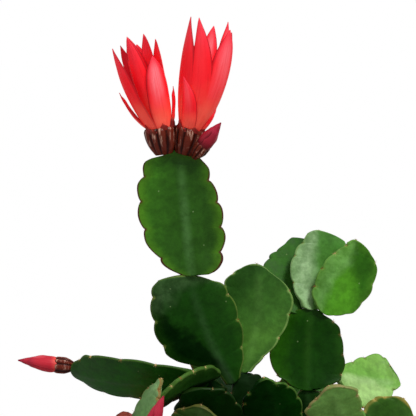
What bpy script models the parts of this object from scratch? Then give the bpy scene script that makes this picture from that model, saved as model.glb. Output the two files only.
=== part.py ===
"""A potted Easter cactus at its real size.

The origin is the centre of the pot's underside. +Z is up, +X is the plant's right
and -Y its front. The plant is a chain of pieces: an old woody stem stands in the
soil, flat segments grow on the stem and on each other's tips, and flowers and buds
grow on the youngest segments. Every piece is placed by the tip that it grows on.
"""

import math

import bmesh
import bpy
from mathutils import Euler, Matrix, Vector

MM = 0.001
GAP = 0.3 * MM  # clear space between two pieces that touch

# Clay pot
POT_HEIGHT = 88 * MM
POT_RIM_RADIUS = 55 * MM
POT_FOOT_RADIUS = 37 * MM
POT_BAND_HEIGHT = 20 * MM  # the thicker band below the rim
POT_BAND_STEP = 2.5 * MM
POT_WALL = 4.5 * MM
POT_FLOOR = 6 * MM
POT_SIDES = 48
DRAIN_RADIUS = 4 * MM
DRAIN_CIRCLE = 20 * MM
DRAIN_COUNT = 3

# Soil
SOIL_LEVEL = 77 * MM
SOIL_MOUND = 2 * MM
PIT_DEPTH = 9 * MM  # how deep a woody stem stands in the soil

# Woody stems: name, foot on the soil (x, y), top (x, y, z), radius; all in mm
STEMS = (
    ("stem_centre", (3, 2), (6, -1, 91), 3.0),
    ("stem_left", (-13, -2), (-17, -8, 91), 2.8),
    ("stem_front_left", (-22, -17), (-29, -24, 88), 2.4),
    ("stem_right", (17, 9), (20, 9, 88), 2.8),
    ("stem_front_right", (24, -14), (31, -14, 88.5), 2.6),
    ("stem_back", (-4, 20), (-5, 24, 89), 2.8),
)

# Flat segments: name, the piece it grows on, seat on that tip (across, depth, rise),
# length and width in mm; lean to the right, tilt to the front and turn about itself
# in degrees; bow out of its plane and sway in its plane in mm; where it is widest,
# as a share of its length
SEGMENTS = (
    ("segment_cross", "stem_centre", (0, 1.5, 0), 30, 20, -36, 5, 25, 1, 0, 0.5),
    ("segment_centre", "stem_centre", (0.5, -2, 0.2), 32, 22, -18, 27, 8, 1, 0, 0.5),
    ("segment_middle_left", "segment_cross", (-4, -0.5, 0), 44, 31, -21, 14, 8, 1, -5, 0.58),
    ("segment_middle_right", "segment_cross", (3, 0.5, -0.6), 38, 28, 7, -8, -8, 1, 1.5, 0.6),
    ("segment_top", "segment_middle_left", (1, 0, -0.3), 43, 31, -5, -4, 0, 1, -1.2, 0.52),
    ("segment_left_riser", "stem_left", (-1, 1, 0), 26, 13, -4, 13, 16, 1, 0, 0.5),
    ("segment_centre_left", "stem_left", (1.3, -2.2, 0.3), 32, 22, -32, 31, -15, 1, 0, 0.5),
    ("segment_left_long", "segment_left_riser", (-2.2, 0.5, -0.3), 48, 26, -87, -7, -61, -4, 0, 0.5),
    ("segment_left_edge", "segment_left_riser", (3, -2.5, 1.1), 30, 18, -103, 47, -65, 1, 0, 0.5),
    ("segment_front_left", "stem_front_left", (1, 1, 0), 25, 22, 14, 18, -5, 1, 0, 0.5),
    ("segment_front_low", "stem_front_left", (-1, -1, 0), 31, 22, -46, 39, 105, 1, 0, 0.5),
    ("segment_left_small", "segment_front_low", (1.5, 0, -0.7), 23, 13, 29, 0, -74, 0.5, 0, 0.5),
    ("segment_right_low", "stem_right", (-1.5, -0.7, 0), 20, 17, -18, 1, -4, 1, 0, 0.5),
    ("segment_right_dark", "segment_right_low", (1, 0, -0.4), 29, 27, 4, -12, -4, 1, -0.5, 0.5),
    ("segment_right_back", "segment_right_dark", (-6, 1, -0.7), 30, 20, -8, -32, 14, 1, 0, 0.5),
    ("segment_right_pale", "segment_right_dark", (-0.5, 0, 0.2), 29, 22, 9, -20, 16, 1, 1, 0.5),
    ("segment_right_bright", "segment_right_dark", (5.5, -1, -0.7), 28, 25, 24, -7, 16, 1, 1.5, 0.5),
    ("segment_right_riser", "stem_right", (1.5, 1, 0.2), 22, 15, 11, -16, -10, 1, 0, 0.5),
    ("segment_far_right", "segment_right_riser", (1.4, -0.5, 1.3), 24, 23, 101, -24, -41, 1, 0, 0.5),
    ("segment_front_right", "stem_front_right", (-1.5, -1, 0), 31, 20, -24, 22, -8, 1, 0, 0.5),
    ("segment_bottom_right", "stem_front_right", (1.5, 1, 0.2), 26, 25, 36, -11, 0, 1, 0, 0.5),
    ("segment_back_left", "stem_back", (-2.2, 1, -0.4), 46, 22, -31, -11, 20, 1, 0, 0.5),
    ("segment_back_right", "stem_back", (2.2, -1, -0.4), 34, 18, 53, -20, -20, 1, 0, 0.5),
)
SEGMENT_THICKNESS = 2.6 * MM
EDGE_SHARE = 0.35  # thickness of a segment's edge, as a share of its middle
NECK_HALF = 1.8 * MM  # half width of a segment where it grows on another
NECK_FLARE = 1.3  # how fast it widens above its neck
LOBES = 4
LOBES_FROM = 0.13  # where the first scallop starts, as a share of the length
LOBE_CREST = 0.6  # where a scallop is fullest, as a share of its own length
LOBE_PEAK = 1.36  # above 1, a scallop is fullest above its middle
LOBE_FULLNESS = 0.7  # below 1, a scallop is rounder than an arch
LOBE_DEPTH = 0.10
OVAL_REACH = 1.87  # how far along the full oval the cut-off tip lies
OVAL_POWERS = (2.3, 0.45)  # (2, 0.5) would be a true ellipse
TIP_SHARE = 0.7  # thickness of the tip, as a share of the middle
TIP_DROP = 1.8 * MM  # how much lower the tip's corners are than its middle

# Flowers: name, seat on the top segment (across, depth, rise) in mm, lean, tilt, turn in
# degrees, girth as a share of the full girth
FLOWERS = (
    ("left", (-5.2, 0, -0.6), -15, 0, 0, 1.0),
    ("right", (1.4, 0, -0.6), 12, 0, 0, 0.92),
)
OVARY_LENGTH = 9 * MM
OVARY_FOOT = 1.6 * MM
OVARY_GIRTH = 4.9 * MM
OVARY_SHAPE = ((1, 1), (1.02, 0.85), (0.82, 0.4))  # shares of its girth and its length
# Petals: whorl, angle in degrees (0 is the flower's right, -90 its front), length
# and width in mm
PETALS = {
    "left": (
        ("short", 180, 14, 3.0), ("short", 5, 15, 2.8),
        ("outer", 192, 30, 7.5), ("outer", -62, 28, 8.5), ("outer", 19, 31, 8),
        ("outer", 105, 30, 8),
        ("inner", 242, 32, 6.6), ("inner", 58, 32, 6.6), ("inner", 150, 31, 6.5),
    ),
    "right": (
        ("short", -125, 16, 3.4), ("short", -5, 10, 3.0),
        ("outer", 171, 37, 7.2), ("outer", -111, 37, 7.2), ("outer", -29, 37, 8),
        ("outer", 60, 36, 8),
        ("inner", -75, 34, 6.5), ("inner", 122, 34, 6.5), ("inner", 23, 36, 6.5),
    ),
}
# Whorls: radius where the petals start, how far they spread, in mm
WHORLS = {"short": (4.45, 3.9), "outer": (3.7, 4.0), "inner": (2.5, 3.2)}
PETAL_THICKNESS = 0.5 * MM
PETAL_ROWS = (0, 0.15, 0.4, 0.65, 0.87, 1)  # shares of a petal's length
PETAL_TIP_HALF = 0.1 * MM
PETAL_FOOT = 0.12  # above 0, a petal's foot is broader than its tip
PETAL_WIDEST = 1.1  # above 1, a petal is widest above its middle
PETAL_FULLNESS = 0.8  # below 1, a petal is rounder than an arch
PETAL_CURL = 1.8  # above 1, a petal leans out most near its foot
STAMEN_LENGTH = 22 * MM
STAMEN_FOOT = (0.8 * MM, 1.6 * MM)  # inner and outer radius of the bundle
STAMEN_TOP = (1.2 * MM, 2.2 * MM)
STYLE_LENGTH = 26 * MM
STYLE_RADIUS = 0.4 * MM
STIGMA_RADIUS = 0.9 * MM
STIGMA_LENGTH = 2 * MM

# Buds: name, the piece it grows on, seat (across, depth, rise), length, radius in mm, lean,
# tilt in degrees, and how blunt its tip is, as a share of its radius
BUDS = (
    ("bud_top", "segment_top", (7.2, -1.2, -0.9), 14, 3.2, 34, 22, 0.28),
    ("bud_long_left", "segment_left_long", (0, 0, 0.1), 20, 3.1, -84, 2, 0.28),
    ("bud_red", "segment_front_low", (-5, 0, -0.7), 18, 2.5, 33, 8, 0.35),
    ("bud_round", "segment_front_low", (6.2, 0.5, -0.7), 9, 2.8, -28, 0, 0.75),
)
BUD_FOOT = 1.2 * MM
BUD_SHAPE = ((1, 0.33), (0.86, 0.14))  # shares of its radius and its length, below the tip
TURNED_SIDES = 12
STYLE_SIDES = 8

COLOURS = {
    "clay": ((0.55, 0.24, 0.13), 0.85),
    "soil": ((0.055, 0.036, 0.024), 1.0),
    "wood": ((0.16, 0.10, 0.055), 0.85),
    "segment": ((0.045, 0.14, 0.022), 0.4),
    "ovary": ((0.10, 0.03, 0.02), 0.35),
    "petal": ((0.85, 0.05, 0.06), 0.45),
    "stamen": ((0.85, 0.45, 0.42), 0.5),
    "bud": ((0.42, 0.02, 0.05), 0.4),
}


def new_collection(name):
    collection = bpy.data.collections.new(name)
    bpy.context.scene.collection.children.link(collection)
    return collection


def material(name):
    colour, roughness = COLOURS[name]
    made = bpy.data.materials.get(name)
    if made is None:
        made = bpy.data.materials.new(name)
        made.use_nodes = True
        shader = made.node_tree.nodes["Principled BSDF"]
        shader.inputs["Base Color"].default_value = (*colour, 1)
        shader.inputs["Roughness"].default_value = roughness
    return made


def add_object(name, mesh, collection, colour=None):
    obj = bpy.data.objects.new(name, mesh)
    collection.objects.link(obj)
    if colour:
        mesh.materials.append(material(colour))
    return obj


def place(obj, position, rotation):
    obj.matrix_world = Matrix.Translation(position) @ rotation.to_4x4()


def turned_object(name, profile, sides, collection, colour):
    """A body turned about Z from (radius, height) points, outer side top to bottom."""
    mesh = bpy.data.meshes.new(name)
    points = [(radius, 0, height) for radius, height in profile]
    edges = [(i, i + 1) for i in range(len(points) - 1)]
    mesh.from_pydata(points, edges, [])
    obj = add_object(name, mesh, collection, colour)
    screw = obj.modifiers.new("turned", "SCREW")
    screw.steps = sides
    screw.render_steps = sides
    screw.use_merge_vertices = True
    screw.merge_threshold = 0.00001
    screw.use_smooth_shade = True
    return obj


def cylinder_cutter(name, radius, bottom, top, x, y, collection):
    mesh = bpy.data.meshes.new(name)
    shape = bmesh.new()
    bmesh.ops.create_cone(
        shape, cap_ends=True, segments=16, radius1=radius, radius2=radius,
        depth=top - bottom,
    )
    shape.to_mesh(mesh)
    shape.free()
    cutter = add_object(name, mesh, collection)
    cutter.location = (x, y, (bottom + top) / 2)
    cutter.hide_render = True
    cutter.display_type = "WIRE"
    return cutter


def cut(obj, cutter):
    boolean = obj.modifiers.new(cutter.name, "BOOLEAN")
    boolean.operation = "DIFFERENCE"
    boolean.object = cutter


def pot_radius(height):
    """Radius of the pot's outer side, below the band, at a height."""
    top = POT_RIM_RADIUS - POT_BAND_STEP
    return POT_FOOT_RADIUS + (top - POT_FOOT_RADIUS) * height / POT_HEIGHT


def build_pot(parts, cutters):
    band = POT_HEIGHT - POT_BAND_HEIGHT
    profile = [
        (0, POT_FLOOR),
        (pot_radius(POT_FLOOR) - POT_WALL, POT_FLOOR),
        (pot_radius(POT_HEIGHT) - POT_WALL, POT_HEIGHT - 1 * MM),
        (pot_radius(POT_HEIGHT) - POT_WALL + 1 * MM, POT_HEIGHT),
        (POT_RIM_RADIUS - 1.5 * MM, POT_HEIGHT),
        (POT_RIM_RADIUS, POT_HEIGHT - 1.5 * MM),
        (pot_radius(band) + POT_BAND_STEP, band + 1 * MM),
        (pot_radius(band) + POT_BAND_STEP - 1 * MM, band),
        (pot_radius(band), band),
        (pot_radius(2 * MM), 2 * MM),
        (POT_FOOT_RADIUS - 1.5 * MM, 0),
        (0, 0),
    ]
    pot = turned_object("pot", profile, POT_SIDES, parts, "clay")
    for index in range(DRAIN_COUNT):
        angle = 2 * math.pi * (index + 0.25) / DRAIN_COUNT
        x = DRAIN_CIRCLE * math.cos(angle)
        y = DRAIN_CIRCLE * math.sin(angle)
        cut(pot, cylinder_cutter(
            f"drain_{index + 1}", DRAIN_RADIUS, -5 * MM, POT_FLOOR + 5 * MM, x, y, cutters
        ))


def build_soil(parts, cutters):
    bottom = POT_FLOOR + GAP
    clearance = POT_WALL + GAP
    profile = [
        (0, SOIL_LEVEL + SOIL_MOUND),
        (POT_RIM_RADIUS / 3, SOIL_LEVEL + SOIL_MOUND),
        (pot_radius(SOIL_LEVEL) - clearance, SOIL_LEVEL),
        (pot_radius(bottom) - clearance, bottom),
        (0, bottom),
    ]
    soil = turned_object("soil", profile, POT_SIDES, parts, "soil")
    for name, (x, y), _top, radius in STEMS:
        cut(soil, cylinder_cutter(
            f"pit_{name}", radius * MM + 2 * GAP, SOIL_LEVEL - PIT_DEPTH,
            SOIL_LEVEL + 3 * SOIL_MOUND, x * MM, y * MM, cutters
        ))


def build_stem(name, foot, top, radius, parts):
    """A woody stem that rises straight from its pit and then bends to its top."""
    start = Vector((foot[0], foot[1], 0)) * MM
    bend_from = start + Vector((0, 0, SOIL_LEVEL + SOIL_MOUND))
    end = Vector(top) * MM
    control = Vector((start.x, start.y, (bend_from.z + end.z) / 2))
    points = [start + Vector((0, 0, SOIL_LEVEL - PIT_DEPTH + GAP))]
    for step in range(4):
        t = step / 3
        points.append(
            bend_from * (1 - t) ** 2 + control * 2 * t * (1 - t) + end * t**2
        )
    curve = bpy.data.curves.new(name, "CURVE")
    curve.dimensions = "3D"
    curve.bevel_depth = radius * MM
    curve.bevel_resolution = 2
    curve.use_fill_caps = True
    spline = curve.splines.new("POLY")
    spline.points.add(len(points) - 1)
    for index, point in enumerate(points):
        spline.points[index].co = (*point, 1)
        spline.points[index].radius = 1 - 0.15 * index / (len(points) - 1)
    add_object(name, curve, parts, "wood")
    direction = (end - control).normalized()
    return end, Vector((0, 0, 1)).rotation_difference(direction).to_matrix(), 0


def turning(lean, tilt, turn):
    angles = (math.radians(tilt), math.radians(lean), math.radians(turn))
    return Euler(angles, "ZXY").to_matrix()


def seat(tip, seat_at, rotation, foot_half):
    """Where a piece starts so that its foot clears the tip that it grows on."""
    position, frame, slope = tip
    across, depth, rise = (value * MM for value in seat_at)
    axis = frame.col[2]
    corners = [
        rotation @ Vector((x * foot_half[0], y * foot_half[1], 0))
        for x in (-1, 1) for y in (-1, 1)
    ]
    lift = GAP - min(corner.dot(axis) for corner in corners)
    drop = slope * max(abs(across) - foot_half[0], 0)
    return position + frame @ Vector((across, depth, 0)) + axis * (lift + rise - drop)


def blade_rows():
    """Heights of a blade's rows, as shares of its length: neck, notches and crests."""
    rows = [0, LOBES_FROM / 2]
    step = (1 - LOBES_FROM) / LOBES
    for lobe in range(LOBES):
        rows.append(LOBES_FROM + lobe * step)
        rows.append(LOBES_FROM + (lobe + LOBE_CREST) * step)
    return rows + [1]


def blade_half_width(share, length, width, widest):
    """Half width of a segment: an oval cut off at its tip, with scalloped sides."""
    skew = math.log(1 / OVAL_REACH) / math.log(widest)
    along = abs(-1 + OVAL_REACH * share**skew)
    oval = width / 2 * (1 - min(along, 1) ** OVAL_POWERS[0]) ** OVAL_POWERS[1]
    half = max(NECK_HALF, min(oval, NECK_HALF + NECK_FLARE * share * length))
    lobe = (share - LOBES_FROM) / (1 - LOBES_FROM) * LOBES
    if lobe > 0:
        bulge = math.sin(math.pi * (lobe % 1) ** LOBE_PEAK) ** LOBE_FULLNESS
        half *= 1 - LOBE_DEPTH * (1 - bulge)
    return half


def build_segment(name, length, width, bow, sway, widest, parts):
    """A flat blade: a grid shaped to the outline, thick in the middle, thin at its edge."""
    rows = blade_rows()
    mesh = bpy.data.meshes.new(name)
    shape = bmesh.new()
    bmesh.ops.create_grid(shape, x_segments=2, y_segments=len(rows) - 1, size=1)
    weights = shape.verts.layers.deform.verify()
    tip_weight = (TIP_SHARE - EDGE_SHARE) / (1 - EDGE_SHARE)
    for vertex in shape.verts:
        side = round(vertex.co.x)
        share = rows[round((vertex.co.y + 1) / 2 * (len(rows) - 1))]
        arch = 4 * share * (1 - share)
        height = share * length - (TIP_DROP if side and share == 1 else 0)
        half = blade_half_width(share, length, width, widest)
        vertex.co = (side * half + sway * arch, bow * arch, height)
        vertex[weights][0] = 1 if side == 0 or share == 0 else 0
        if share == 1:
            vertex[weights][0] = tip_weight
    shape.to_mesh(mesh)
    shape.free()
    segment = add_object(name, mesh, parts, "segment")
    segment.vertex_groups.new(name="middle")
    solidify = segment.modifiers.new("thickness", "SOLIDIFY")
    solidify.thickness = SEGMENT_THICKNESS
    solidify.offset = 0
    solidify.vertex_group = "middle"
    solidify.thickness_vertex_group = EDGE_SHARE
    mesh.shade_smooth()
    return segment


def build_petal(name, whorl, angle, length, width, girth, parts):
    """A lance-shaped petal that wraps around the flower's axis and leans outwards."""
    start, spread = (value * MM * girth for value in WHORLS[whorl])
    last = len(PETAL_ROWS) - 1
    mesh = bpy.data.meshes.new(name)
    shape = bmesh.new()
    bmesh.ops.create_grid(shape, x_segments=2, y_segments=last, size=1)
    for vertex in shape.verts:
        share = PETAL_ROWS[round((vertex.co.y + 1) / 2 * last)]
        radius = start + spread * (1 - (1 - share) ** PETAL_CURL)
        along = (PETAL_FOOT + (1 - PETAL_FOOT) * share) ** PETAL_WIDEST
        half = PETAL_TIP_HALF + width / 2 * math.sin(math.pi * along) ** PETAL_FULLNESS
        around = math.radians(angle) + round(vertex.co.x) * half / radius
        vertex.co = (
            radius * math.cos(around), radius * math.sin(around), share * length
        )
    shape.to_mesh(mesh)
    shape.free()
    petal = add_object(name, mesh, parts, "petal")
    solidify = petal.modifiers.new("thickness", "SOLIDIFY")
    solidify.thickness = PETAL_THICKNESS
    solidify.offset = 0
    mesh.shade_smooth()
    return petal


def build_flower(side, tip, seat_at, rotation, girth, parts):
    foot = (OVARY_FOOT, OVARY_FOOT)
    base = seat(tip, seat_at, rotation, foot)
    profile = [(0, OVARY_LENGTH)]
    for out, up in OVARY_SHAPE:
        profile.append((OVARY_GIRTH * girth * out, OVARY_LENGTH * up))
    profile += [(OVARY_FOOT, 0), (0, 0)]
    ovary = turned_object(f"ovary_{side}", profile, TURNED_SIDES, parts, "ovary")
    place(ovary, base, rotation)
    cup = base + rotation @ Vector((0, 0, OVARY_LENGTH + GAP))
    for index, (whorl, angle, length, width) in enumerate(PETALS[side]):
        name = f"petal_{side}_{index + 1}"
        petal = build_petal(name, whorl, angle, length * MM, width * MM, girth, parts)
        place(petal, cup, rotation)
    bundle = [
        (STAMEN_FOOT[0], 0), (STAMEN_TOP[0], STAMEN_LENGTH),
        (STAMEN_TOP[1], STAMEN_LENGTH), (STAMEN_FOOT[1], 0), (STAMEN_FOOT[0], 0),
    ]
    stamens = turned_object(f"stamens_{side}", bundle, TURNED_SIDES, parts, "stamen")
    place(stamens, cup, rotation)
    stalk = [
        (0, STYLE_LENGTH), (STIGMA_RADIUS, STYLE_LENGTH - STIGMA_LENGTH / 3),
        (STYLE_RADIUS, STYLE_LENGTH - STIGMA_LENGTH), (STYLE_RADIUS, 0), (0, 0),
    ]
    style = turned_object(f"style_{side}", stalk, STYLE_SIDES, parts, "stamen")
    place(style, cup, rotation)


def build_bud(name, length, radius, blunt, parts):
    profile = [
        (0, length),
        (radius * blunt, length * 0.86),
        (radius * (0.6 + 0.4 * blunt), length * 0.6),
    ]
    for out, up in BUD_SHAPE:
        profile.append((radius * out, length * up))
    profile += [(BUD_FOOT, 0), (0, 0)]
    return turned_object(name, profile, TURNED_SIDES, parts, "bud")


def build():
    for obj in list(bpy.data.objects):
        bpy.data.objects.remove(obj)
    parts = new_collection("potted_easter_cactus")
    cutters = new_collection("cutters")
    build_pot(parts, cutters)
    build_soil(parts, cutters)
    tips = {}
    for name, foot, top, radius in STEMS:
        tips[name] = build_stem(name, foot, top, radius, parts)
    neck = (NECK_HALF, SEGMENT_THICKNESS / 2)
    for row in SEGMENTS:
        name, parent, seat_at, length, width, lean, tilt, turn, bow, sway, widest = row
        rotation = turning(lean, tilt, turn)
        base = seat(tips[parent], seat_at, rotation, neck)
        size = (length * MM, width * MM)
        segment = build_segment(name, *size, bow * MM, sway * MM, widest, parts)
        place(segment, base, rotation)
        tip = base + rotation @ Vector((0, 0, length * MM))
        tips[name] = (tip, rotation, TIP_DROP / blade_half_width(1, *size, widest))
    for side, seat_at, lean, tilt, turn, girth in FLOWERS:
        rotation = turning(lean, tilt, turn)
        build_flower(side, tips["segment_top"], seat_at, rotation, girth, parts)
    for name, parent, seat_at, length, radius, lean, tilt, blunt in BUDS:
        rotation = turning(lean, tilt, 0)
        bud = build_bud(name, length * MM, radius * MM, blunt, parts)
        place(bud, seat(tips[parent], seat_at, rotation, (BUD_FOOT, BUD_FOOT)), rotation)


build()
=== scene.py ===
"""A potted Easter cactus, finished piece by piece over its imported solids.

The origin is the centre of the pot's underside, +Z is up, +X the plant's right and -Y
its front. Lengths are written in millimetres and become metres through MM, and colours
as they show on a screen, 0 to 255.
"""

import math

import bmesh
import bpy
import numpy as np
from mathutils import Euler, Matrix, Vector, noise


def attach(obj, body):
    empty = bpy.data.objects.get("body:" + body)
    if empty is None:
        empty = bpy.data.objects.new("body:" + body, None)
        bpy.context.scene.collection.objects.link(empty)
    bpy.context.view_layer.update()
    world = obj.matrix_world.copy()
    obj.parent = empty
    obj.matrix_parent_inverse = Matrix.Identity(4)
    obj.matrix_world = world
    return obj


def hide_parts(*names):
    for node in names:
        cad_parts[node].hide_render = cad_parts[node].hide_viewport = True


MM = 0.001
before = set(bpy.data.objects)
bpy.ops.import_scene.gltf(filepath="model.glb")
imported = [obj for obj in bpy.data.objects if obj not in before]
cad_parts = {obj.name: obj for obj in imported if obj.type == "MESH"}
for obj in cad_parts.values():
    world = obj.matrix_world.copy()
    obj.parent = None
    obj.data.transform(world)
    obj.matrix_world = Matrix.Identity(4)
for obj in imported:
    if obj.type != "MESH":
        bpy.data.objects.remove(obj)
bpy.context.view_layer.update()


# ---------------------------------------------------------------------------------
# The table, the lamps and the camera. The plant stands on a plain white table in a
# white room, with one broad lamp above it at the front right and a weak one at the
# left. The camera is a little above the flowers and looks slightly down.

ROOM_LIGHT = 0.42
LAMPS = (  # name, degrees to the right of the front, degrees above the table, strength, width
    ("lamp_right", 38, 52, 2.1, 16),
    ("lamp_left", -62, 34, 0.45, 30),
)
TABLE_HALF = 12.0  # metres
TABLE_SHADE = 0.42
WHITE = (1, 1, 1, 1)
LOOK_AT = Vector((-22, 0, 178)) * MM
LOOK_FROM = 600 * MM
LOOK_DOWN = math.radians(6)
VIEW_WIDTH = 149.75 * MM  # what the picture takes in at LOOK_AT
NEAREST, FARTHEST = 0.01, 50  # what the camera sees, in metres


def fed(made, inputs):
    """The node with values, or sockets to join, put into its inputs."""
    for key, value in inputs.items():
        if isinstance(value, bpy.types.NodeSocket):
            made.id_data.links.new(value, made.inputs[key])
        else:
            made.inputs[key].default_value = value
    return made


def node(tree, kind, inputs=None, **settings):
    """A new node in a tree, or in the tree of a socket. Settings are its own fields."""
    made = tree.id_data.nodes.new(kind)
    for field, value in settings.items():
        setattr(made, field, value)
    return fed(made, inputs or {})


def white_to_the_camera(tree, plain, seen, output):
    """The plain shader lights the plant; the camera alone sees the other one."""
    path = node(tree, "ShaderNodeLightPath")
    either = node(tree, "ShaderNodeMixShader", {
        0: path.outputs["Is Camera Ray"], 1: plain.outputs[0], 2: seen.outputs[0],
    })
    node(tree, output, {"Surface": either.outputs[0]})


def placed(name, data):
    """A new object in the scene."""
    made = bpy.data.objects.new(name, data)
    picture.collection.objects.link(made)
    return made


picture = bpy.context.scene
picture.view_settings.view_transform = "Standard"

room = picture.world = bpy.data.worlds.new("white_room")
room.use_nodes = True
room.node_tree.nodes.clear()
plain, seen = (
    node(room.node_tree, "ShaderNodeBackground", {"Strength": strength, "Color": WHITE})
    for strength in (ROOM_LIGHT, 1.0)
)
white_to_the_camera(room.node_tree, plain, seen, "ShaderNodeOutputWorld")

table_light = ROOM_LIGHT
for name, to_right, above, strength, width in LAMPS:
    lamp = bpy.data.lights.new(name, "SUN")
    lamp.energy = strength
    lamp.angle = math.radians(width)
    placed(name, lamp).rotation_euler = (math.radians(90 - above), 0, math.radians(to_right))
    table_light += strength * math.sin(math.radians(above)) / math.pi

table_top = bpy.data.materials.new("white_table")
table_top.use_nodes = True
top_tree = table_top.node_tree
top_tree.nodes.clear()
table_white = node(top_tree, "ShaderNodeBsdfDiffuse", {"Color": (*[TABLE_SHADE] * 3, 1)})
table_glow = node(top_tree, "ShaderNodeEmission", {
    "Color": WHITE, "Strength": 1 - TABLE_SHADE * table_light,
})
table_seen = node(top_tree, "ShaderNodeAddShader", {
    0: table_white.outputs[0], 1: table_glow.outputs[0],
})
white_to_the_camera(top_tree, table_white, table_seen, "ShaderNodeOutputMaterial")
table_mesh = bpy.data.meshes.new("table")
corners = [(x * TABLE_HALF, y * TABLE_HALF, 0) for x, y in ((-1, -1), (1, -1), (1, 1), (-1, 1))]
table_mesh.from_pydata(corners, [], [(0, 1, 2, 3)])
table_mesh.materials.append(table_top)
table = placed("table", table_mesh)

camera_data = bpy.data.cameras.new("camera")
camera_data.lens = camera_data.sensor_width * LOOK_FROM / VIEW_WIDTH
camera_data.clip_start = NEAREST
camera_data.clip_end = FARTHEST
camera = picture.camera = placed("camera", camera_data)
back = Vector((0, -math.cos(LOOK_DOWN), math.sin(LOOK_DOWN)))
camera.location = LOOK_AT + back * LOOK_FROM
camera.rotation_euler = (math.pi / 2 - LOOK_DOWN, 0, 0)


# ---------------------------------------------------------------------------------
# The pot. One piece of unglazed fired clay, turned on a wheel, with a thicker band
# below its rim and three drain holes in its floor. Water draws salts out through the
# clay, so pale patches stand on its outside, low down and under the band.

POT_HEIGHT = 88
POT_RIM = 55
POT_FOOT = 37
BAND_HEIGHT = 20
BAND_OUT = 2.5
POT_WALL = 4.5
POT_FLOOR = 6
POT_CORNER = 1.3
POT_STEP = 4
POT_SIDES = 144
SHARP = math.radians(50)
DRAIN_RADIUS = 4
DRAIN_RING = 20  # radius of the ring that the holes lie on
DRAINS = 3
DRAIN_SIDES = 32
FIRST_DRAIN = 0.25  # share of the way from +X to the next hole
SALT_LOW = (30 * MM, 4 * MM)  # heights of none and of most, down by the foot
SALT_HIGH = (56 * MM, 67 * MM)  # and under the band, where it ends
SALT_ENDS = (69 * MM, 68 * MM)
CLAY_LIGHT = (204, 128, 92)
CLAY_DARK = (168, 92, 62)
CLAY_DAMP = (120, 62, 42)
CLAY_SALT = (214, 190, 168)


def screen(red, green, blue):
    """The colour that shows as these three values on a screen."""
    shares = (value / 255 for value in (red, green, blue))
    linear = [s / 12.92 if s < 0.0405 else ((s + 0.055) / 1.055) ** 2.4 for s in shares]
    return (*linear, 1)


def reckoned(operation, *values):
    """A sum on values, of which the first is a socket."""
    return node(
        values[0], "ShaderNodeMath", dict(enumerate(values)), operation=operation
    ).outputs[0]


def times(first, *others):
    """The product of all the values."""
    for other in others:
        first = reckoned("MULTIPLY", first, other)
    return first


def mixed(share, first, second):
    """The first colour turned into the second by a share."""
    return node(share, "ShaderNodeMix", {
        0: share, 6: first, 7: second,
    }, data_type="RGBA").outputs[2]


def tinted(colour, *tints):
    """The colour with tints laid over it, as (how much of it shows, tint)."""
    if isinstance(colour, tuple):
        colour = screen(*colour)
    for share, tint in tints:
        colour = mixed(share, colour, screen(*tint))
    return colour


def ease(value, start, end, low=0.0, high=1.0):
    """Eases from low to high while the value goes from start to end."""
    return node(value, "ShaderNodeMapRange", {
        "Value": value, "From Min": start, "From Max": end, "To Min": low, "To Max": high,
    }, interpolation_type="SMOOTHSTEP").outputs[0]


def grain(where, scale, detail=3.0, rough=0.55, twist=0.0):
    """A noise of so many waves to the metre."""
    return node(where, "ShaderNodeTexNoise", {
        "Vector": where, "Scale": scale, "Detail": detail, "Roughness": rough,
        "Distortion": twist,
    }).outputs["Fac"]


def new_skin(name):
    """A new material, and the place on the object in its node tree."""
    made = bpy.data.materials.new(name)
    made.use_nodes = True
    return made, node(made.node_tree, "ShaderNodeTexCoord").outputs["Object"]


def finish(where, colour, roughness, specular, *bumps, painted_glow=None):
    """The skin's surface. Bumps are (height, how high in mm), the coarse ones first."""
    normal = {}
    for height, high in bumps:
        bump = node(where, "ShaderNodeBump", {
            "Height": height, "Distance": high * MM, "Strength": 1.0, **normal,
        })
        normal = {"Normal": bump.outputs["Normal"]}
    fed(where.id_data.nodes["Principled BSDF"], {
        "Base Color": colour, "Roughness": roughness, "Specular IOR Level": specular,
        **normal, **(painted_glow or {}),
    })


def ringed(rings, caps=(0, -1), **attributes):
    """A closed mesh over rings of points in mm, which run counter-clockwise when seen
    from the last ring. Caps are the end rings that get a face of their own. An
    attribute holds one value for each point."""
    rings = np.asarray(rings, float)
    rows, count = rings.shape[:2]
    ring, spot = np.meshgrid(np.arange(rows - 1), np.arange(count), indexing="ij")
    first = ring * count + spot
    second = ring * count + (spot + 1) % count
    faces = np.stack([first, second, second + count, first + count], -1).reshape(-1, 4).tolist()
    if 0 in caps:
        faces.append(list(range(count))[::-1])
    if -1 in caps:
        faces.append(list(range((rows - 1) * count, rows * count)))
    mesh = bpy.data.meshes.new("ringed")
    mesh.from_pydata((rings.reshape(-1, 3) * MM).tolist(), [], faces)
    for key, values in attributes.items():
        layer = mesh.attributes.new(key, "FLOAT", "POINT")
        layer.data.foreach_set("value", np.asarray(values, np.float32).ravel())
    shape = bmesh.new()
    shape.from_mesh(mesh)
    bmesh.ops.remove_doubles(shape, verts=shape.verts, dist=1e-6)
    bmesh.ops.dissolve_degenerate(shape, edges=shape.edges, dist=1e-7)
    shape.to_mesh(mesh)
    shape.free()
    mesh.shade_smooth()
    return mesh


def softened(profile, cut, steps=4):
    """The (radius, height) points with a short curve in place of each corner."""
    points = [np.array(point, float) for point in profile]
    soft = [points[0]]
    for before, corner, after in zip(points, points[1:], points[2:]):
        legs = [before - corner, after - corner]
        sizes = [np.linalg.norm(leg) for leg in legs]
        start, end = (
            corner + leg / size * min(cut, size / 2.2) for leg, size in zip(legs, sizes)
        )
        for step in range(steps + 1):
            t = step / steps
            soft.append((1 - t) ** 2 * start + 2 * t * (1 - t) * corner + t**2 * end)
    return np.array(soft + [points[-1]])


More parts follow.
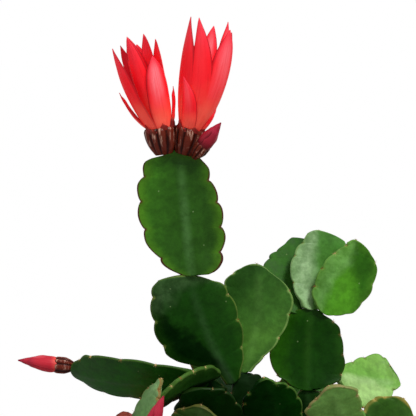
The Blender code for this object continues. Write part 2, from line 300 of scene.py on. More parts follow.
def turned(profile, longest, sides):
    """Rings about Z through (radius, height) points, from the underside out and up,
    with more rings put in where two points lie further apart than the longest."""
    profile = np.array(profile, float)
    dense = [profile[0]]
    for start, end in zip(profile, profile[1:]):
        count = max(1, math.ceil(np.linalg.norm(end - start) / longest))
        dense += [start + (end - start) * (step + 1) / count for step in range(count)]
    radius, height = np.array(dense).T[..., None]
    angles = np.linspace(0, 2 * math.pi, sides, endpoint=False)
    return np.stack(
        [radius * np.cos(angles), radius * np.sin(angles), height + 0 * angles], -1
    )


def piece(name, mesh, material, slot, *nodes):
    """A finished piece of the plant, which stands for the CAD nodes named."""
    mesh.name = name
    made = placed(name, mesh)
    mesh.materials.clear()
    mesh.materials.append(material)
    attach(made, "root")
    if nodes:
        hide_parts(*nodes)


def worked(made):
    """The mesh that an object's modifiers make of it. The object itself goes."""
    evaluated = made.evaluated_get(bpy.context.evaluated_depsgraph_get())
    mesh = bpy.data.meshes.new_from_object(evaluated)
    bpy.data.objects.remove(made)
    return mesh


def cleared(mesh, cutters):
    """The mesh with the cutters' shapes taken out of it."""
    whole = placed("whole", mesh)
    tools = [placed("cutter", cutter) for cutter in cutters]
    for tool in tools:
        boolean = whole.modifiers.new("cut", "BOOLEAN")
        boolean.operation = "DIFFERENCE"
        boolean.solver = "EXACT"
        boolean.object = tool
    mesh = worked(whole)
    for tool in tools:
        bpy.data.objects.remove(tool)
    return mesh


def pot_radius(height):
    """The pot's outer radius below its band."""
    return POT_FOOT + (POT_RIM - BAND_OUT - POT_FOOT) * height / POT_HEIGHT


band = POT_HEIGHT - BAND_HEIGHT
pot_profile = softened([
    (0, 0),
    (POT_FOOT - 1, 0),
    (pot_radius(1.5), 1.5),
    (pot_radius(band), band),
    (pot_radius(band) + BAND_OUT - 0.3, band + 0.4),
    (POT_RIM, POT_HEIGHT - 0.5),
    (POT_RIM - 1.2, POT_HEIGHT),
    (pot_radius(POT_HEIGHT) - POT_WALL, POT_HEIGHT),
    (pot_radius(POT_FLOOR) - POT_WALL, POT_FLOOR),
    (0, POT_FLOOR),
], POT_CORNER)
drains = []
for index in range(DRAINS):
    angle = 2 * math.pi * (index + FIRST_DRAIN) / DRAINS
    hole = turned([
        (0, -POT_FLOOR / 2), (DRAIN_RADIUS, -POT_FLOOR / 2), (DRAIN_RADIUS, 2 * POT_FLOOR),
        (0, 2 * POT_FLOOR),
    ], POT_HEIGHT, DRAIN_SIDES)
    hole += np.array([DRAIN_RING * math.cos(angle), DRAIN_RING * math.sin(angle), 0])
    drains.append(ringed(hole, caps=()))
pot_mesh = cleared(ringed(turned(pot_profile, POT_STEP, POT_SIDES), caps=()), drains)
pot_mesh.shade_smooth()
pot_mesh.set_sharp_from_angle(angle=SHARP)

clay, where = new_skin("fired_clay")
height = node(where, "ShaderNodeSeparateXYZ", {0: where}).outputs["Z"]
cloud = grain(where, 28, 4)
speckle = grain(where, 900, 2)
wheel = node(where, "ShaderNodeTexWave", {
    "Vector": where, "Scale": 260.0, "Distortion": 1.4, "Detail": 2.0,
}, wave_type="BANDS", bands_direction="Z").outputs["Fac"]
salted = reckoned(
    "MAXIMUM", ease(height, *SALT_LOW),
    times(ease(height, *SALT_HIGH), ease(height, *SALT_ENDS)),
)
patchy = ease(grain(where, 75, 5, 0.65, 0.8), 0.45, 0.68)
colour = tinted(
    CLAY_DARK, (ease(cloud, 0.35, 0.68), CLAY_LIGHT),
    (ease(speckle, 0.55, 0.75, 0, 0.35), CLAY_SALT),
    (ease(speckle, 0.42, 0.28, 0, 0.5), CLAY_DAMP),
    (times(salted, patchy), CLAY_SALT),
)
finish(where, colour, ease(patchy, 0, 1, 0.82, 0.97), 0.25,
       (wheel, 0.05), (cloud, 0.3), (speckle, 0.12))
piece("clay_pot", pot_mesh, clay, "clay", "pot")


# ---------------------------------------------------------------------------------
# The soil. A loose dark mix of peat and fine bark, a little higher in the middle,
# with crumbs of peat, chips of bark and white grains of perlite lying on it.

SOIL_LEVEL = 77
SOIL_TOP = SOIL_LEVEL + 2  # in the middle
SOIL_FLAT = 18  # radius of the level middle
SOIL_GAP = 0.3  # from the pot's floor and wall
SOIL_STEP = 1.2
SOIL_SIDES = 120
SOIL_ROUGH = 0.8
SOIL_SETTLES = 0.3  # how far its top has sunk
SOIL_EDGE = 0.5  # its top starts so far below its level
BED_EDGE = 0.9  # and the bed of its crumbs so far
PEAT_DARK = (38, 27, 20)
PEAT_LIGHT = (86, 62, 44)
BARK_RED = (122, 78, 50)
PERLITE_GREY = (186, 180, 166)
PERLITE = (226, 222, 212)
WHOLE_TURN = 6.283  # radians


def cloned(shape, points, size, wild, seed, tall, turn=None):
    """Copies of a shape on points, each of its own size, which wild lets differ by that
    share, and turned its own way. tall stretches a copy along its own three axes."""
    random_size = node(shape, "FunctionNodeRandomValue", {
        2: 1 - wild, 3: 1 + wild, "Seed": seed,
    }, data_type="FLOAT").outputs[1]
    scale = node(shape, "ShaderNodeVectorMath", {
        0: tall, "Scale": times(random_size, size),
    }, operation="SCALE").outputs[0]
    if turn is None:
        turn = node(shape, "FunctionNodeRandomValue", {
            0: (0, 0, 0), 1: (WHOLE_TURN,) * 3, "Seed": 7,
        }, data_type="FLOAT_VECTOR").outputs[0]
    return node(shape, "GeometryNodeInstanceOnPoints", {
        "Points": points, "Instance": shape, "Rotation": turn, "Scale": scale,
    }).outputs[0]


def ball(places, radius, faces=2):
    """A round lump, whose faces are split so many times."""
    return node(places, "GeometryNodeMeshIcoSphere", {
        "Radius": radius, "Subdivisions": faces,
    }).outputs[0]


def node_group(name, *labels):
    """The sockets of a new geometry node tree: its geometry, then the named inputs."""
    tree = bpy.data.node_groups.new(name, "GeometryNodeTree")
    kinds = {"Geometry": "NodeSocketGeometry", "Seed": "NodeSocketInt"}
    tree.interface.new_socket("Geometry", in_out="OUTPUT", socket_type=kinds["Geometry"])
    for label in ("Geometry", *labels):
        kind = kinds.get(label, "NodeSocketFloat")
        tree.interface.new_socket(label, in_out="INPUT", socket_type=kind)
    return node(tree, "NodeGroupInput").outputs[:-1]  # the last one is an empty place


def real(copies):
    """The copies as one plain mesh."""
    return node(copies, "GeometryNodeRealizeInstances", {0: copies}).outputs[0]


def grow(name, host, copies, material, slot, *nodes, **values):
    """The piece that a geometry node tree makes on a host mesh: its copies are made
    real and get their material, and the tree's named inputs get their values."""
    tree = copies.id_data
    painted = node(tree, "GeometryNodeSetMaterial", {
        "Geometry": real(copies), "Material": material,
    })
    node(tree, "NodeGroupOutput", {"Geometry": painted.outputs[0]})
    carrier = placed("carrier", host)
    modifier = carrier.modifiers.new("grown", "NODES")
    modifier.node_group = tree
    for item in tree.interface.items_tree:
        if item.in_out == "INPUT" and item.name in values:
            modifier[item.identifier] = values[item.name]
    piece(name, worked(carrier), material, slot, *nodes)


inner_radius = pot_radius(POT_FLOOR) - POT_WALL
soil_rings = turned([
    (0, POT_FLOOR + SOIL_GAP),
    (inner_radius - SOIL_GAP, POT_FLOOR + SOIL_GAP),
    (pot_radius(SOIL_LEVEL) - POT_WALL - 0.2, SOIL_LEVEL),
    (SOIL_FLAT, SOIL_TOP),
    (0, SOIL_TOP),
], SOIL_STEP, SOIL_SIDES)
for point in soil_rings.reshape(-1, 3):
    if point[2] > SOIL_LEVEL - SOIL_EDGE:
        unevenness = noise.fractal(Vector(point) * 0.16, 0.7, 2.0, 5)
        point[2] += SOIL_ROUGH * unevenness - SOIL_SETTLES

peat, where = new_skin("peat")
crumbs = grain(where, 420, 4, 0.7)
fibres = grain(where, 1500, 2)
finish(where, tinted(
    PEAT_DARK, (ease(crumbs, 0.35, 0.7), PEAT_LIGHT),
    (ease(fibres, 0.6, 0.75, 0, 0.4), BARK_RED),
), 0.95, 0.2, (crumbs, 1.2), (fibres, 0.5))
piece("soil_body", ringed(soil_rings, caps=()), peat, "soil", "soil")

bark_chip, where = new_skin("bark_chip")
cork = grain(where, 300, 3)
finish(where, tinted(PEAT_LIGHT, (cork, BARK_RED)), 0.9, 0.2, (cork, 0.4))
perlite, where = new_skin("perlite_grain")
pores = grain(where, 1800, 2)
finish(where, tinted(PERLITE_GREY, (ease(pores, 0.3, 0.6), PERLITE)), 0.9, 0.3,
       (pores, 0.2))

bed_rings = [ring for ring in soil_rings if ring[0][2] > SOIL_LEVEL - BED_EDGE]
bed = ringed(bed_rings[1:], caps=())
for name, material, many, large, seed, tall, faces in (
    ("peat_crumbs", peat, 230000, 0.8, 3, (1.0, 0.8, 0.7), 1),
    ("bark_chips", bark_chip, 26000, 1.5, 5, (1.3, 0.9, 0.35), 1),
    ("perlite_grains", perlite, 14000, 0.85, 11, (1.0, 0.9, 0.8), 2),
):
    ground, number, size, draw = node_group(name, "Number", "Size", "Seed")
    points = node(ground, "GeometryNodeDistributePointsOnFaces", {
        "Mesh": ground, "Density": number, "Seed": draw,
    }).outputs[0]
    lumps = cloned(ball(ground, 1.0, faces), points, size, 0.5, draw, tall)
    grow(name, bed, lumps, material, "soil", Number=many, Size=large * MM, Seed=seed)


# ---------------------------------------------------------------------------------
# The old stems. The lowest segments of an old plant lose their wings, turn round and
# woody, and their skin splits into corky plates. Each one stands in the soil and
# carries green segments on its top.

WOODY_STEMS = (  # CAD node, foot on the soil, top, radius
    ("stem_centre", (3, 2), (6, -1, 91), 3.0),
    ("stem_left", (-13, -2), (-17, -8, 91), 2.8),
    ("stem_front_left", (-22, -17), (-29, -24, 88), 2.4),
    ("stem_right", (17, 9), (20, 9, 88), 2.8),
    ("stem_front_right", (24, -14), (31, -14, 88.5), 2.6),
    ("stem_back", (-4, 20), (-5, 24, 89), 2.8),
)
STEM_SINKS = 8  # how far a stem reaches into the soil
STEM_SIDES = 28
STEM_GIRTH = (1.12, 0.9)  # at the foot and at the top, times its radius
STEM_WAVER = 0.12
STEM_ROUGH = 0.1
STEM_CORK = (126, 98, 70)
STEM_CRACK = (46, 30, 22)
STEM_GREEN = (74, 84, 44)


def swept(path, radii, sides):
    """Rings round a path of points, each kept level with the one before it."""
    path = [Vector(point) for point in path]
    across = Vector((1, 0, 0))
    rings = []
    for index, point in enumerate(path):
        along = path[min(index + 1, len(path) - 1)] - path[max(index - 1, 0)]
        along.normalize()
        across = (across - across.dot(along) * along).normalized()
        up = along.cross(across)
        angles = [2 * math.pi * side / sides for side in range(sides)]
        rings.append([
            point + radii[index] * (across * math.cos(a) + up * math.sin(a)) for a in angles
        ])
    return np.array(rings)


def stem_path(foot, top):
    """Up out of the soil and over to the stem's top."""
    start = Vector((*foot, SOIL_TOP))
    end = Vector(top)
    elbow = Vector((*foot, (start.z + end.z) / 2))
    path = [start - Vector((0, 0, STEM_SINKS * (1 - step / 5))) for step in range(5)]
    for t in np.linspace(0, 1, 21):
        path.append((1 - t) ** 2 * start + 2 * t * (1 - t) * elbow + t**2 * end)
    return path


woody, where = new_skin("old_stem_cork")
squeezed = node(where, "ShaderNodeMapping", {"Vector": where, "Scale": (1, 1, 0.45)}).outputs[0]
plates = node(where, "ShaderNodeTexVoronoi", {
    "Vector": squeezed, "Scale": 620.0, "Randomness": 1.0,
}, feature="DISTANCE_TO_EDGE").outputs[0]
cork = grain(where, 700, 4, 0.65)
split = ease(plates, 0.02, 0.16)
colour = tinted(STEM_GREEN, (ease(cork, 0.3, 0.7), STEM_CORK))
finish(where, mixed(split, screen(*STEM_CRACK), colour), 0.9, 0.25,
       (split, 0.35), (cork, 0.25))
for number, (cad_node, foot, top, radius) in enumerate(WOODY_STEMS):
    path = stem_path(foot, top)
    shares = [index / (len(path) - 1) for index in range(len(path))]
    radii = [
        radius * (STEM_GIRTH[0] + (STEM_GIRTH[1] - STEM_GIRTH[0]) * share
                  + STEM_WAVER * noise.noise(Vector((index * 0.45, number * 9, 0))))
        for index, share in enumerate(shares)
    ]
    rings = swept(path, radii, STEM_SIDES)
    for ring, middle in zip(rings, path):
        for point in ring:
            push = 1 + STEM_ROUGH * noise.fractal(Vector(point) * 0.55, 0.7, 2.0, 3)
            point[:] = np.array(middle) + (point - np.array(middle)) * push
    piece(f"old_{cad_node}", ringed(rings), woody, "wood", cad_node)


# ---------------------------------------------------------------------------------
# The green segments. Each one is a flat blade of watery flesh with a scalloped edge
# and a rib along its middle. It grows out of its parent's tip by a narrow neck. Old
# ones are thick and dark with a pale corky edge, young ones thin with a red one.
# Light and shade are painted into each skin as well: it runs from a shaded colour to a
# lit one, and the segments deep inside the plant are painted dark for the shade there.

THICKNESS = 2.6
TIP_THINNER = 0.28  # share of the thickness that is lost towards the tip
NECK = 1.8  # half width where a segment leaves its parent
NECK_SINKS = 0.9  # how far the neck reaches into the tip that it grows on
FULL_OVAL = (  # share of the length, share of the greatest half width
    (0, 0.16), (0.1, 0.5), (0.28, 0.86), (0.52, 1), (0.76, 0.93), (0.91, 0.72), (1, 0.4),
)
NOTCHES = ((0.35, 0.57, 0.78, 0.93), (0.33, 0.55, 0.76, 0.92))  # left and right
LOBE_PEAK = 1.15
LOBE_FULLNESS = 0.55
TIP_DROP = 1.8  # how far the tip's corners fall back
FOOT_RISE = 1.8  # how far the corners of a broad foot rise
BROAD_FOOT = 6  # half width from which they rise in full
RIB_HEIGHT = 0.25
RIB_WIDTH = 1.7
RIM_AT_NECK = 0.9  # share of the middle's thickness
BODY_ROUND = 2.2  # the power by which the flesh thins out towards the edge
WAVE_ROUND = 1.3
TIP_AREOLE = 0.8  # size of the one at the tip, times the others'
ROWS = 84
COLUMNS = (0, 0.035, 0.08, 0.14, 0.22, 0.32, 0.43, 0.54, 0.65, 0.75, 0.84, 0.91, 0.96, 0.99, 1)
EDGE_ROUND = ((0.5, 0.75), (0.7, 0.0), (0.5, -0.75))  # out and across, in half thicknesses
CAP_ROWS = ((0.25, 0.85), (0.5, 0.5), (0.6, 0.0))  # out and thickness at the tip's end
FAR = 99.0
PAD_WAY = 0.45  # how much an areole at a notch leans up
# The pale of the waxy coat, which also serves as a painted highlight.
BLOOM_AND_SHEEN = (168, 200, 150)
SPECK = (150, 176, 118)
SHADED = dict(  # the skin of the segments that stand in the plant's own shade, its darkened rim and margin colours painted shade
    rim=(40, 52, 20), rim_share=0.4, margin=(6, 36, 4), rib=0.05, specks=0.1, shine=0.08,
)

areoles = []  # place, way out and size of each one, in mm


def smooth(value, start, end):
    """Eases from 0 to 1 while the value goes from start to end."""
    share = np.clip((value - start) / (end - start), 0, 1)
    return share * share * (3 - 2 * share)


def through(points, at):
    """A smooth curve through the points that never overshoots them."""
    place, value = np.array(points, float).T
    step = np.diff(place)
    slope = np.diff(value) / step
    before, after = slope[:-1], slope[1:]
    inner = np.where(before * after > 0, 2 * before * after / (before + after + 1e-12), 0)
    tangent = np.array([slope[0], *inner, slope[-1]])
    index = np.clip(np.searchsorted(place, at) - 1, 0, len(step) - 1)
    t = (at - place[index]) / step[index]
    return (
        value[index] * (1 + 2 * t) * (1 - t) ** 2
        + value[index + 1] * t**2 * (3 - 2 * t)
        + step[index] * t * (1 - t) * (tangent[index] * (1 - t) - tangent[index + 1] * t)
    )


def turning(lean, tilt=0, turn=0):
    """Lean to the right, tilt to the front and turn about itself, as a 3 by 3 array."""
    angles = (math.radians(tilt), math.radians(lean), math.radians(turn))
    return np.array(Euler(angles, "ZXY").to_matrix())


def foot_of(cad_node, rotation):
    """Where the CAD node starts, at the middle of its foot, and how long it is."""
    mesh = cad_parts[cad_node].data
    points = np.empty(len(mesh.vertices) * 3)
    mesh.vertices.foreach_get("co", points)
    own = (points.reshape(-1, 3) / MM) @ rotation
    low, high = own[:, 2].min(), own[:, 2].max()
    foot = own[own[:, 2] < low + 0.02]
    middle = (foot.min(0) + foot.max(0)) / 2
    return rotation @ np.array([middle[0], middle[1], low]), high - low


def ripples(across, share, seed, waves):
    """A noise over a blade or a petal, with so many waves across and along it."""
    return np.array([[
        noise.noise(Vector((a * waves[0], s * waves[1], seed))) for a in across[0]
    ] for s in share[:, 0]])


def edge_line(side, notches, share, depth):
    """A side's half width, with a rounded lobe between each two notches. side is its
    outline, as share of the length and half width, or just its greatest half width."""
    if isinstance(side, (int, float)):
        side = [(place, side * full) for place, full in FULL_OVAL]
    half = through(side, share)
    marks = [-0.04, *notches, 1.06]
    for start, end in zip(marks, marks[1:]):
        lobe = np.clip((share - start) / (end - start), 0, 1)
        bulge = np.sin(math.pi * lobe**LOBE_PEAK) ** LOBE_FULLNESS
        inside = (share >= start) & (share < end)
        half = np.where(inside, half - depth * (1 - bulge) * smooth(share, 0, 0.12), half)
    return np.maximum(half, NECK * 0.8)


def blade(cad_node, aim, left, right=None, bend=(1, 0), notches=NOTCHES, depth=0.9,
          slant=0, longer=1, turned_by=0, leaned_by=0, edge=0.5, cup=0.0, wave=0.5,
          rise=FOOT_RISE, moved=(0, 0, 0), areole=0.7):
    """A segment's mesh. aim is its lean, tilt and turn; left and right are its sides,
    alike if only the left is given; bend its bow out of its plane and its sway in it;
    notches the shares where its left and right side are notched, and depth how deep;
    slant how much higher its tip ends on the left; longer its length over its CAD
    node's; turned_by a further turn about itself and leaned_by a further lean; edge its
    half thickness at the edge; cup how far its edges come forward; wave how far they
    ripple; rise how much higher the corners of its foot are; moved how far the whole of
    it is moved; areole how large its areoles are."""
    foot, length = foot_of(cad_node, turning(*aim))
    foot = foot + np.array(moved)
    rotation = turning(aim[0] + leaned_by, aim[1], aim[2] + turned_by)
    length *= longer
    share = np.array(sorted({*np.linspace(0, 1, ROWS), *notches[0], *notches[1]}))[:, None]
    halves = [edge_line(side, marks, share, depth)
              for side, marks in zip((left, right or left), notches)]
    columns = np.array([-c for c in COLUMNS[:0:-1]] + list(COLUMNS))
    flat = 0 * columns
    out, thick = np.array(EDGE_ROUND).T
    across = np.concatenate([columns, [1] * 3, columns[::-1], [-1] * 3])[None, :]
    beyond = np.concatenate([flat, out, flat, -out])[None, :]
    face = np.concatenate([flat - 1, -thick, flat + 1, thick])[None, :]

    middle = THICKNESS / 2 * (1 - TIP_THINNER * smooth(share, 0.8, 1))
    rim = middle * RIM_AT_NECK
    rim = rim + (edge - rim) * smooth(share, 0.0, 0.22)
    body = rim + (middle - rim) * (1 - np.abs(across) ** BODY_ROUND)
    from_rib = across * np.where(across < 0, halves[0], halves[1])
    ridge = RIB_HEIGHT * np.exp(-((from_rib / RIB_WIDTH) ** 2)) * (1 - smooth(share, 0.86, 1))
    arch = 4 * share * (1 - share)
    ripple = ripples(across, share, sum(map(ord, cad_node)), (0.9, 3.1))
    x = from_rib + beyond * rim + bend[1] * arch
    middle_y = (bend[0] * arch - cup * across**2 * smooth(share, 0.05, 0.4)
                + wave * ripple * np.abs(across) ** WAVE_ROUND * smooth(share, 0.1, 0.35))
    y = middle_y + face * (body + ridge)
    foot_halves = np.where(across < 0, halves[0][0], halves[1][0])
    z = (share * length - TIP_DROP * across**2 * smooth(share, 0.72, 1)
         - slant * across * smooth(share, 0.45, 1) - NECK_SINKS * (1 - smooth(share, 0, 0.06))
         + rise * across**2 * (1 - smooth(share, 0, 0.16))
         * np.clip(foot_halves / BROAD_FOOT, 0, 1))
    rings = [*np.stack([x, y, z + 0 * x], -1)]
    tip = rings[-1]
    for out, left_over in CAP_ROWS:
        end = tip.copy()
        end[:, 1] = middle_y[-1] + (y[-1] - middle_y[-1]) * left_over
        end[:, 0] = x[-1] - (beyond * rim)[-1] * (1 - left_over)
        end[:, 2] += out * rim[-1]
        rings.append(end)
    rings = np.array(rings)

    def with_caps(values, last):
        return np.concatenate([values + 0 * x, last + np.zeros((len(CAP_ROWS), x.shape[1]))])

    margin = np.minimum(
        (1 - np.abs(across)) * np.abs(np.where(across < 0, *halves)),
        (1 - share) * length + TIP_DROP * across**2 * 0.4,
    )
    near = np.full(rings.shape[:2], FAR)
    for side, marks in zip((-1, 1), notches):
        column = (len(columns) + 1) if side > 0 else (across.shape[1] - 2)
        for mark in marks:
            spot = rings[int(np.argmin(np.abs(share[:, 0] - mark))), column]
            near = np.minimum(near, np.linalg.norm(rings - spot, axis=-1))
            way = rotation @ np.array([side, 0, PAD_WAY])
            areoles.append((foot + rotation @ spot, way, areole))
    tip = rings[-1, len(columns) // 2]
    areoles.append((foot + rotation @ tip, rotation[:, 2], areole * TIP_AREOLE))
    return ringed(
        rings @ rotation.T + foot, caps=(0,), across=with_caps(across, across[0]),
        along=with_caps(share, 1.0), margin=with_caps(margin, 0.0),
        from_rib=with_caps(np.abs(from_rib), 9.0), near_areole=near,
    )


def read(where, *names):
    """The values that the mesh holds under these names."""
    return [node(where, "ShaderNodeAttribute", attribute_name=name).outputs["Fac"]
            for name in names]


def segment_skin(name, deep, face, light, toward=60, deep_ends=(-1.0, 0.1),
                 light_starts=(0.1, 1.1), rim=(96, 60, 34), rim_width=0.3, rim_share=0.8,
                 rim_far=0.4, margin=(92, 128, 48), margin_share=0.4, rib=0.3,
                 rib_colour=None, bloom_and_sheen=0.0, bloom_and_sheen_at=180, bloom_and_sheen_starts=(-0.3, 0.9),
                 specks=0.4, gloss=0.4, shine=0.16):
    """A segment's skin, with light and shade painted into it: deep, its shaded colour, to
    light, its lit one, across it, painted brightest toward that many degrees from its right
    side, with where deep ends and light starts; its rim, partly a corky edge and partly a
    painted highlight along the edge, of which rim_far is left on the painted dark side, the
    tint near its edge, and how much of its rib, of the pale waxy coat and painted highlight
    at bloom_and_sheen_at degrees, and of its corky specks shows."""
    made, where = new_skin(name)
    across, along, edge_far, rib_far, areole_far = read(
        where, "across", "along", "margin", "from_rib", "near_areole"
    )
    cloud = grain(where, 55, 4, 0.6, 0.4)
    mottle = grain(where, 240, 4, 0.65)
    cells = grain(where, 1600, 2)

    def slope(degrees):
        """-1 to 1 across the blade in that direction, broken up by the cloud."""
        side = times(across, math.cos(math.radians(degrees)))
        tall = times(reckoned("MULTIPLY_ADD", along, 2.0, -1.0),
                     math.sin(math.radians(degrees)))
        uneven = reckoned("MULTIPLY_ADD", cloud, 1.2, -0.6)
        return reckoned("ADD", reckoned("ADD", side, tall), uneven)

    # Painted light and shade: the skin runs from the shaded colour through face to the lit one,
    # brightest toward that many degrees.
    painted_light = slope(toward)
    colour = tinted(
        deep, (ease(painted_light, *deep_ends), face), (ease(painted_light, *light_starts), light)
    )
    # The pale veil is partly the segment's own waxy coat and partly a painted highlight on the
    # side that faces the light.
    if bloom_and_sheen:
        veil = ease(slope(bloom_and_sheen_at), *bloom_and_sheen_starts)
        veil = times(veil, ease(mottle, 0.25, 0.7, bloom_and_sheen * 0.5, bloom_and_sheen))
        colour = tinted(colour, (veil, BLOOM_AND_SHEEN))
    near_edge = times(ease(edge_far, 4.5, 0.4, 0, margin_share),
                      ease(cloud, 0.3, 0.62, 0.35, 1))
    colour = tinted(colour, (near_edge, margin))
    dapple = times(ease(mottle, 0.3, 0.7, 0.82, 1.2),
                   ease(grain(where, 760, 3, 0.6), 0.3, 0.7, 0.92, 1.08))
    dappled = node(where, "ShaderNodeCombineColor", dict.fromkeys(range(3), dapple)).outputs[0]
    colour = node(where, "ShaderNodeMix", {0: 1.0, 6: colour, 7: dappled}, data_type="RGBA",
                  blend_type="MULTIPLY").outputs[2]
    rib_line = times(
        ease(rib_far, 2.6, 0.0, 0, rib), ease(along, 1.0, 0.8),
        ease(cloud, 0.35, 0.6, 0.4, 1), ease(mottle, 0.3, 0.6, 0.5, 1.2),
    )
    speck = node(where, "ShaderNodeTexVoronoi", {"Vector": where, "Scale": 260.0})
    rare = ease(node(where, "ShaderNodeSeparateColor", {
        0: speck.outputs["Color"],
    }).outputs[0], 0.7, 0.74)
    dot = times(ease(speck.outputs["Distance"], 0.1, 0.05, 0, specks), rare)
    # The rim: a corky edge, on some segments also a painted highlight along the edge, faded on the
    # painted dark side.
    rim_and_highlight = times(
        ease(edge_far, rim_width, rim_width * 0.2),
        ease(mottle, 0.35, 0.55, 0.35, rim_share), ease(painted_light, -0.5, 0.3, rim_far, 1),
    )
    colour = tinted(
        colour, (rib_line, rib_colour or tuple(min(255, c + 40) for c in light)),
        (dot, SPECK), (ease(areole_far, 1.3, 0.4, 0, 0.75), rim), (rim_and_highlight, rim),
    )
    finish(where, colour, ease(mottle, 0.3, 0.7, gloss - 0.06, gloss + 0.1), shine,
           (cloud, 0.5), (mottle, 0.08), (dot, 0.15), (cells, 0.03))
    return made


def segment(name, skin, **shape):
    """The blade that stands for a CAD node, with its own shape and skin."""
    piece(f"blade_{name}", blade(f"segment_{name}", **shape),
          segment_skin(f"blade_{name}_skin", **skin), "segment", f"segment_{name}")


# The crown: the young segment that flowers, on the dark one under it, with the pale
# one behind, both on the cross piece that grew out of the middle stem.
segment(
    "top", aim=(-5, -4, 0), bend=(1, -0.3), longer=1.006, slant=1.9, rise=0,
    left=((0, 1.5), (0.025, 4.3), (0.05, 7), (0.12, 10.3), (0.3, 14.8), (0.52, 16.4),
          (0.72, 15.8), (0.82, 13.9), (0.92, 12.7), (0.95, 10.8), (0.97, 7), (1, 5)),
    right=((0, 5.6), (0.015, 7.8), (0.04, 9.8), (0.08, 11.1), (0.14, 12), (0.3, 13.3),
           (0.5, 13.1), (0.75, 10.5), (0.9, 9.4), (1, 7)),
    notches=((0.14, 0.385, 0.605, 0.79, 0.97), (0.15, 0.355, 0.56, 0.77)), depth=1.4,
    edge=0.4, cup=0.6, areole=0.45,
    skin=dict(deep=(36, 76, 12), face=(38, 82, 14), light=(56, 112, 22), toward=165,
              rim=(74, 34, 18), rim_width=0.44, rim_share=1, rim_far=1, margin=(82, 134, 22),
              margin_share=0.6, rib=0.35, rib_colour=(90, 136, 76)),
)
# Painted light and shade: its dark lower left is a painted shadow of the top segment, and its pale
# upper left and pale rim are painted light.
segment(
    "middle_left", aim=(-21, 14, 8), bend=(1, -1.8), slant=4.2,
    left=((0, 1.8), (0.15, 3.4), (0.25, 8.6), (0.36, 14.1), (0.46, 16.6), (0.62, 16.9),
          (0.8, 15.6), (0.92, 14.2), (0.97, 13), (1, 10.6)),
    right=((0, 2.5), (0.06, 5), (0.15, 8.1), (0.3, 11.4), (0.55, 13.3), (0.75, 12.6),
           (0.9, 11), (0.96, 9.6), (1, 7.5)),
    notches=((0.51, 0.7, 0.885), (0.23, 0.47, 0.77)), depth=1.3,
    skin=dict(deep=(3, 32, 1), face=(22, 66, 10), light=(30, 76, 16), toward=36, shine=0.08,
              deep_ends=(-0.42, -0.2), rim=(110, 132, 58), rim_share=0.6,
              margin=(44, 92, 20), margin_share=0.3, rib_colour=(72, 108, 66),
              bloom_and_sheen=0.1, bloom_and_sheen_at=103, bloom_and_sheen_starts=(0.6, 0.85)),
)
# Its pale rim along the top right is partly a painted highlight.
segment(
    "middle_right", aim=(7, -8, -8), bend=(1, 2.5), depth=0.8, moved=(0, 0, -0.8), longer=1.01,
    left=((0, 1.8), (0.15, 6.5), (0.4, 11.5), (0.65, 13.6), (0.8, 12.6), (0.9, 10.2),
          (0.96, 7.8), (1, 5)),
    right=((0, 1.8), (0.13, 5), (0.3, 8.6), (0.5, 11), (0.68, 12.4), (0.8, 11.7), (0.88, 9.9),
           (0.94, 7.6), (1, 4.6)),
    notches=((0.3, 0.56, 0.76, 0.93), (0.15, 0.34, 0.57, 0.8)),
    skin=dict(deep=(42, 84, 26), face=(62, 110, 38), light=(76, 125, 44), toward=290,
              deep_ends=(-0.75, -0.2), light_starts=(-0.15, 0.45), shine=0.1,
              rim=(138, 172, 92), rim_width=0.55, rim_far=0.8, rim_share=0.65,
              margin=(46, 88, 32), margin_share=0.5, rib=0.12),
)
# The cross is painted nearly black-green: painted shade under the segments above it.
segment(
    "cross", aim=(-36, 5, 25), left=10, right=7.4, edge=0.6, areole=0.45,
    skin=dict(deep=(4, 24, 3), face=(8, 32, 5), light=(14, 42, 10), **SHADED),
)
# The centre is painted nearly black-green: painted shade under the segments above it.
segment(
    "centre", aim=(-18, 27, 8), left=11, edge=0.55,
    right=((0, 1.8), (0.15, 6), (0.34, 9.4), (0.5, 9.9), (0.65, 9), (0.8, 7), (0.92, 4), (1, 2)),
    skin=dict(deep=(1, 34, 1), face=(3, 44, 2), light=(10, 54, 4), toward=8, shine=0.08,
              rim=(84, 122, 50), rim_far=0.0, margin=(6, 46, 4), margin_share=0.1, rib=0.06,
              specks=0.15),
)

# The left side: two blades on the riser from the left stem, one flat with a bud at
# its end and one seen from its edge, then the low ones over the pot's rim.
# The riser is painted nearly black-green: painted shade under the blades over it.
segment(
    "left_riser", aim=(-4, 13, 16), left=6.5, edge=0.6, areole=0.4,
    skin=dict(deep=(1, 20, 1), face=(2, 26, 2), light=(8, 38, 6), **SHADED),
)
# Its dark colours are painted shade from the blades above it.
segment(
    "centre_left", aim=(-32, 31, -15), edge=0.55, longer=1.03, areole=0.45, moved=(0, 0, 0.8),
    left=((0, 1.8), (0.3, 9), (0.6, 9.5), (0.8, 7), (0.93, 3.6), (1, 1.8)),
    right=((0, 1.8), (0.2, 9), (0.5, 14), (0.8, 13), (0.93, 10), (1, 7)),
    skin=dict(deep=(8, 46, 4), face=(10, 54, 5), light=(18, 62, 10), toward=120, shine=0.12,
              rim=(44, 60, 22), rim_share=0.4, margin=(6, 36, 4), rib=0.08, specks=0.15),
)
segment(
    "left_long", aim=(-87, -7, -61), turned_by=16, bend=(-2.5, 0),
    left=((0, 2), (0.15, 7), (0.35, 11), (0.55, 11.4), (0.75, 10.4), (0.9, 8.3), (1, 5)),
    right=((0, 2), (0.12, 7), (0.3, 10.7), (0.5, 12.8), (0.75, 13), (0.88, 11.6), (1, 5)),
    notches=((0.3, 0.57, 0.77, 0.95), (0.35, 0.6, 0.84, 0.95)), edge=0.45,
    skin=dict(deep=(20, 92, 6), face=(30, 90, 14), light=(38, 84, 26), shine=0.12,
              rim=(78, 98, 44), rim_share=0.5, margin=(30, 72, 18), margin_share=0.3,
              rib=0.12),
)
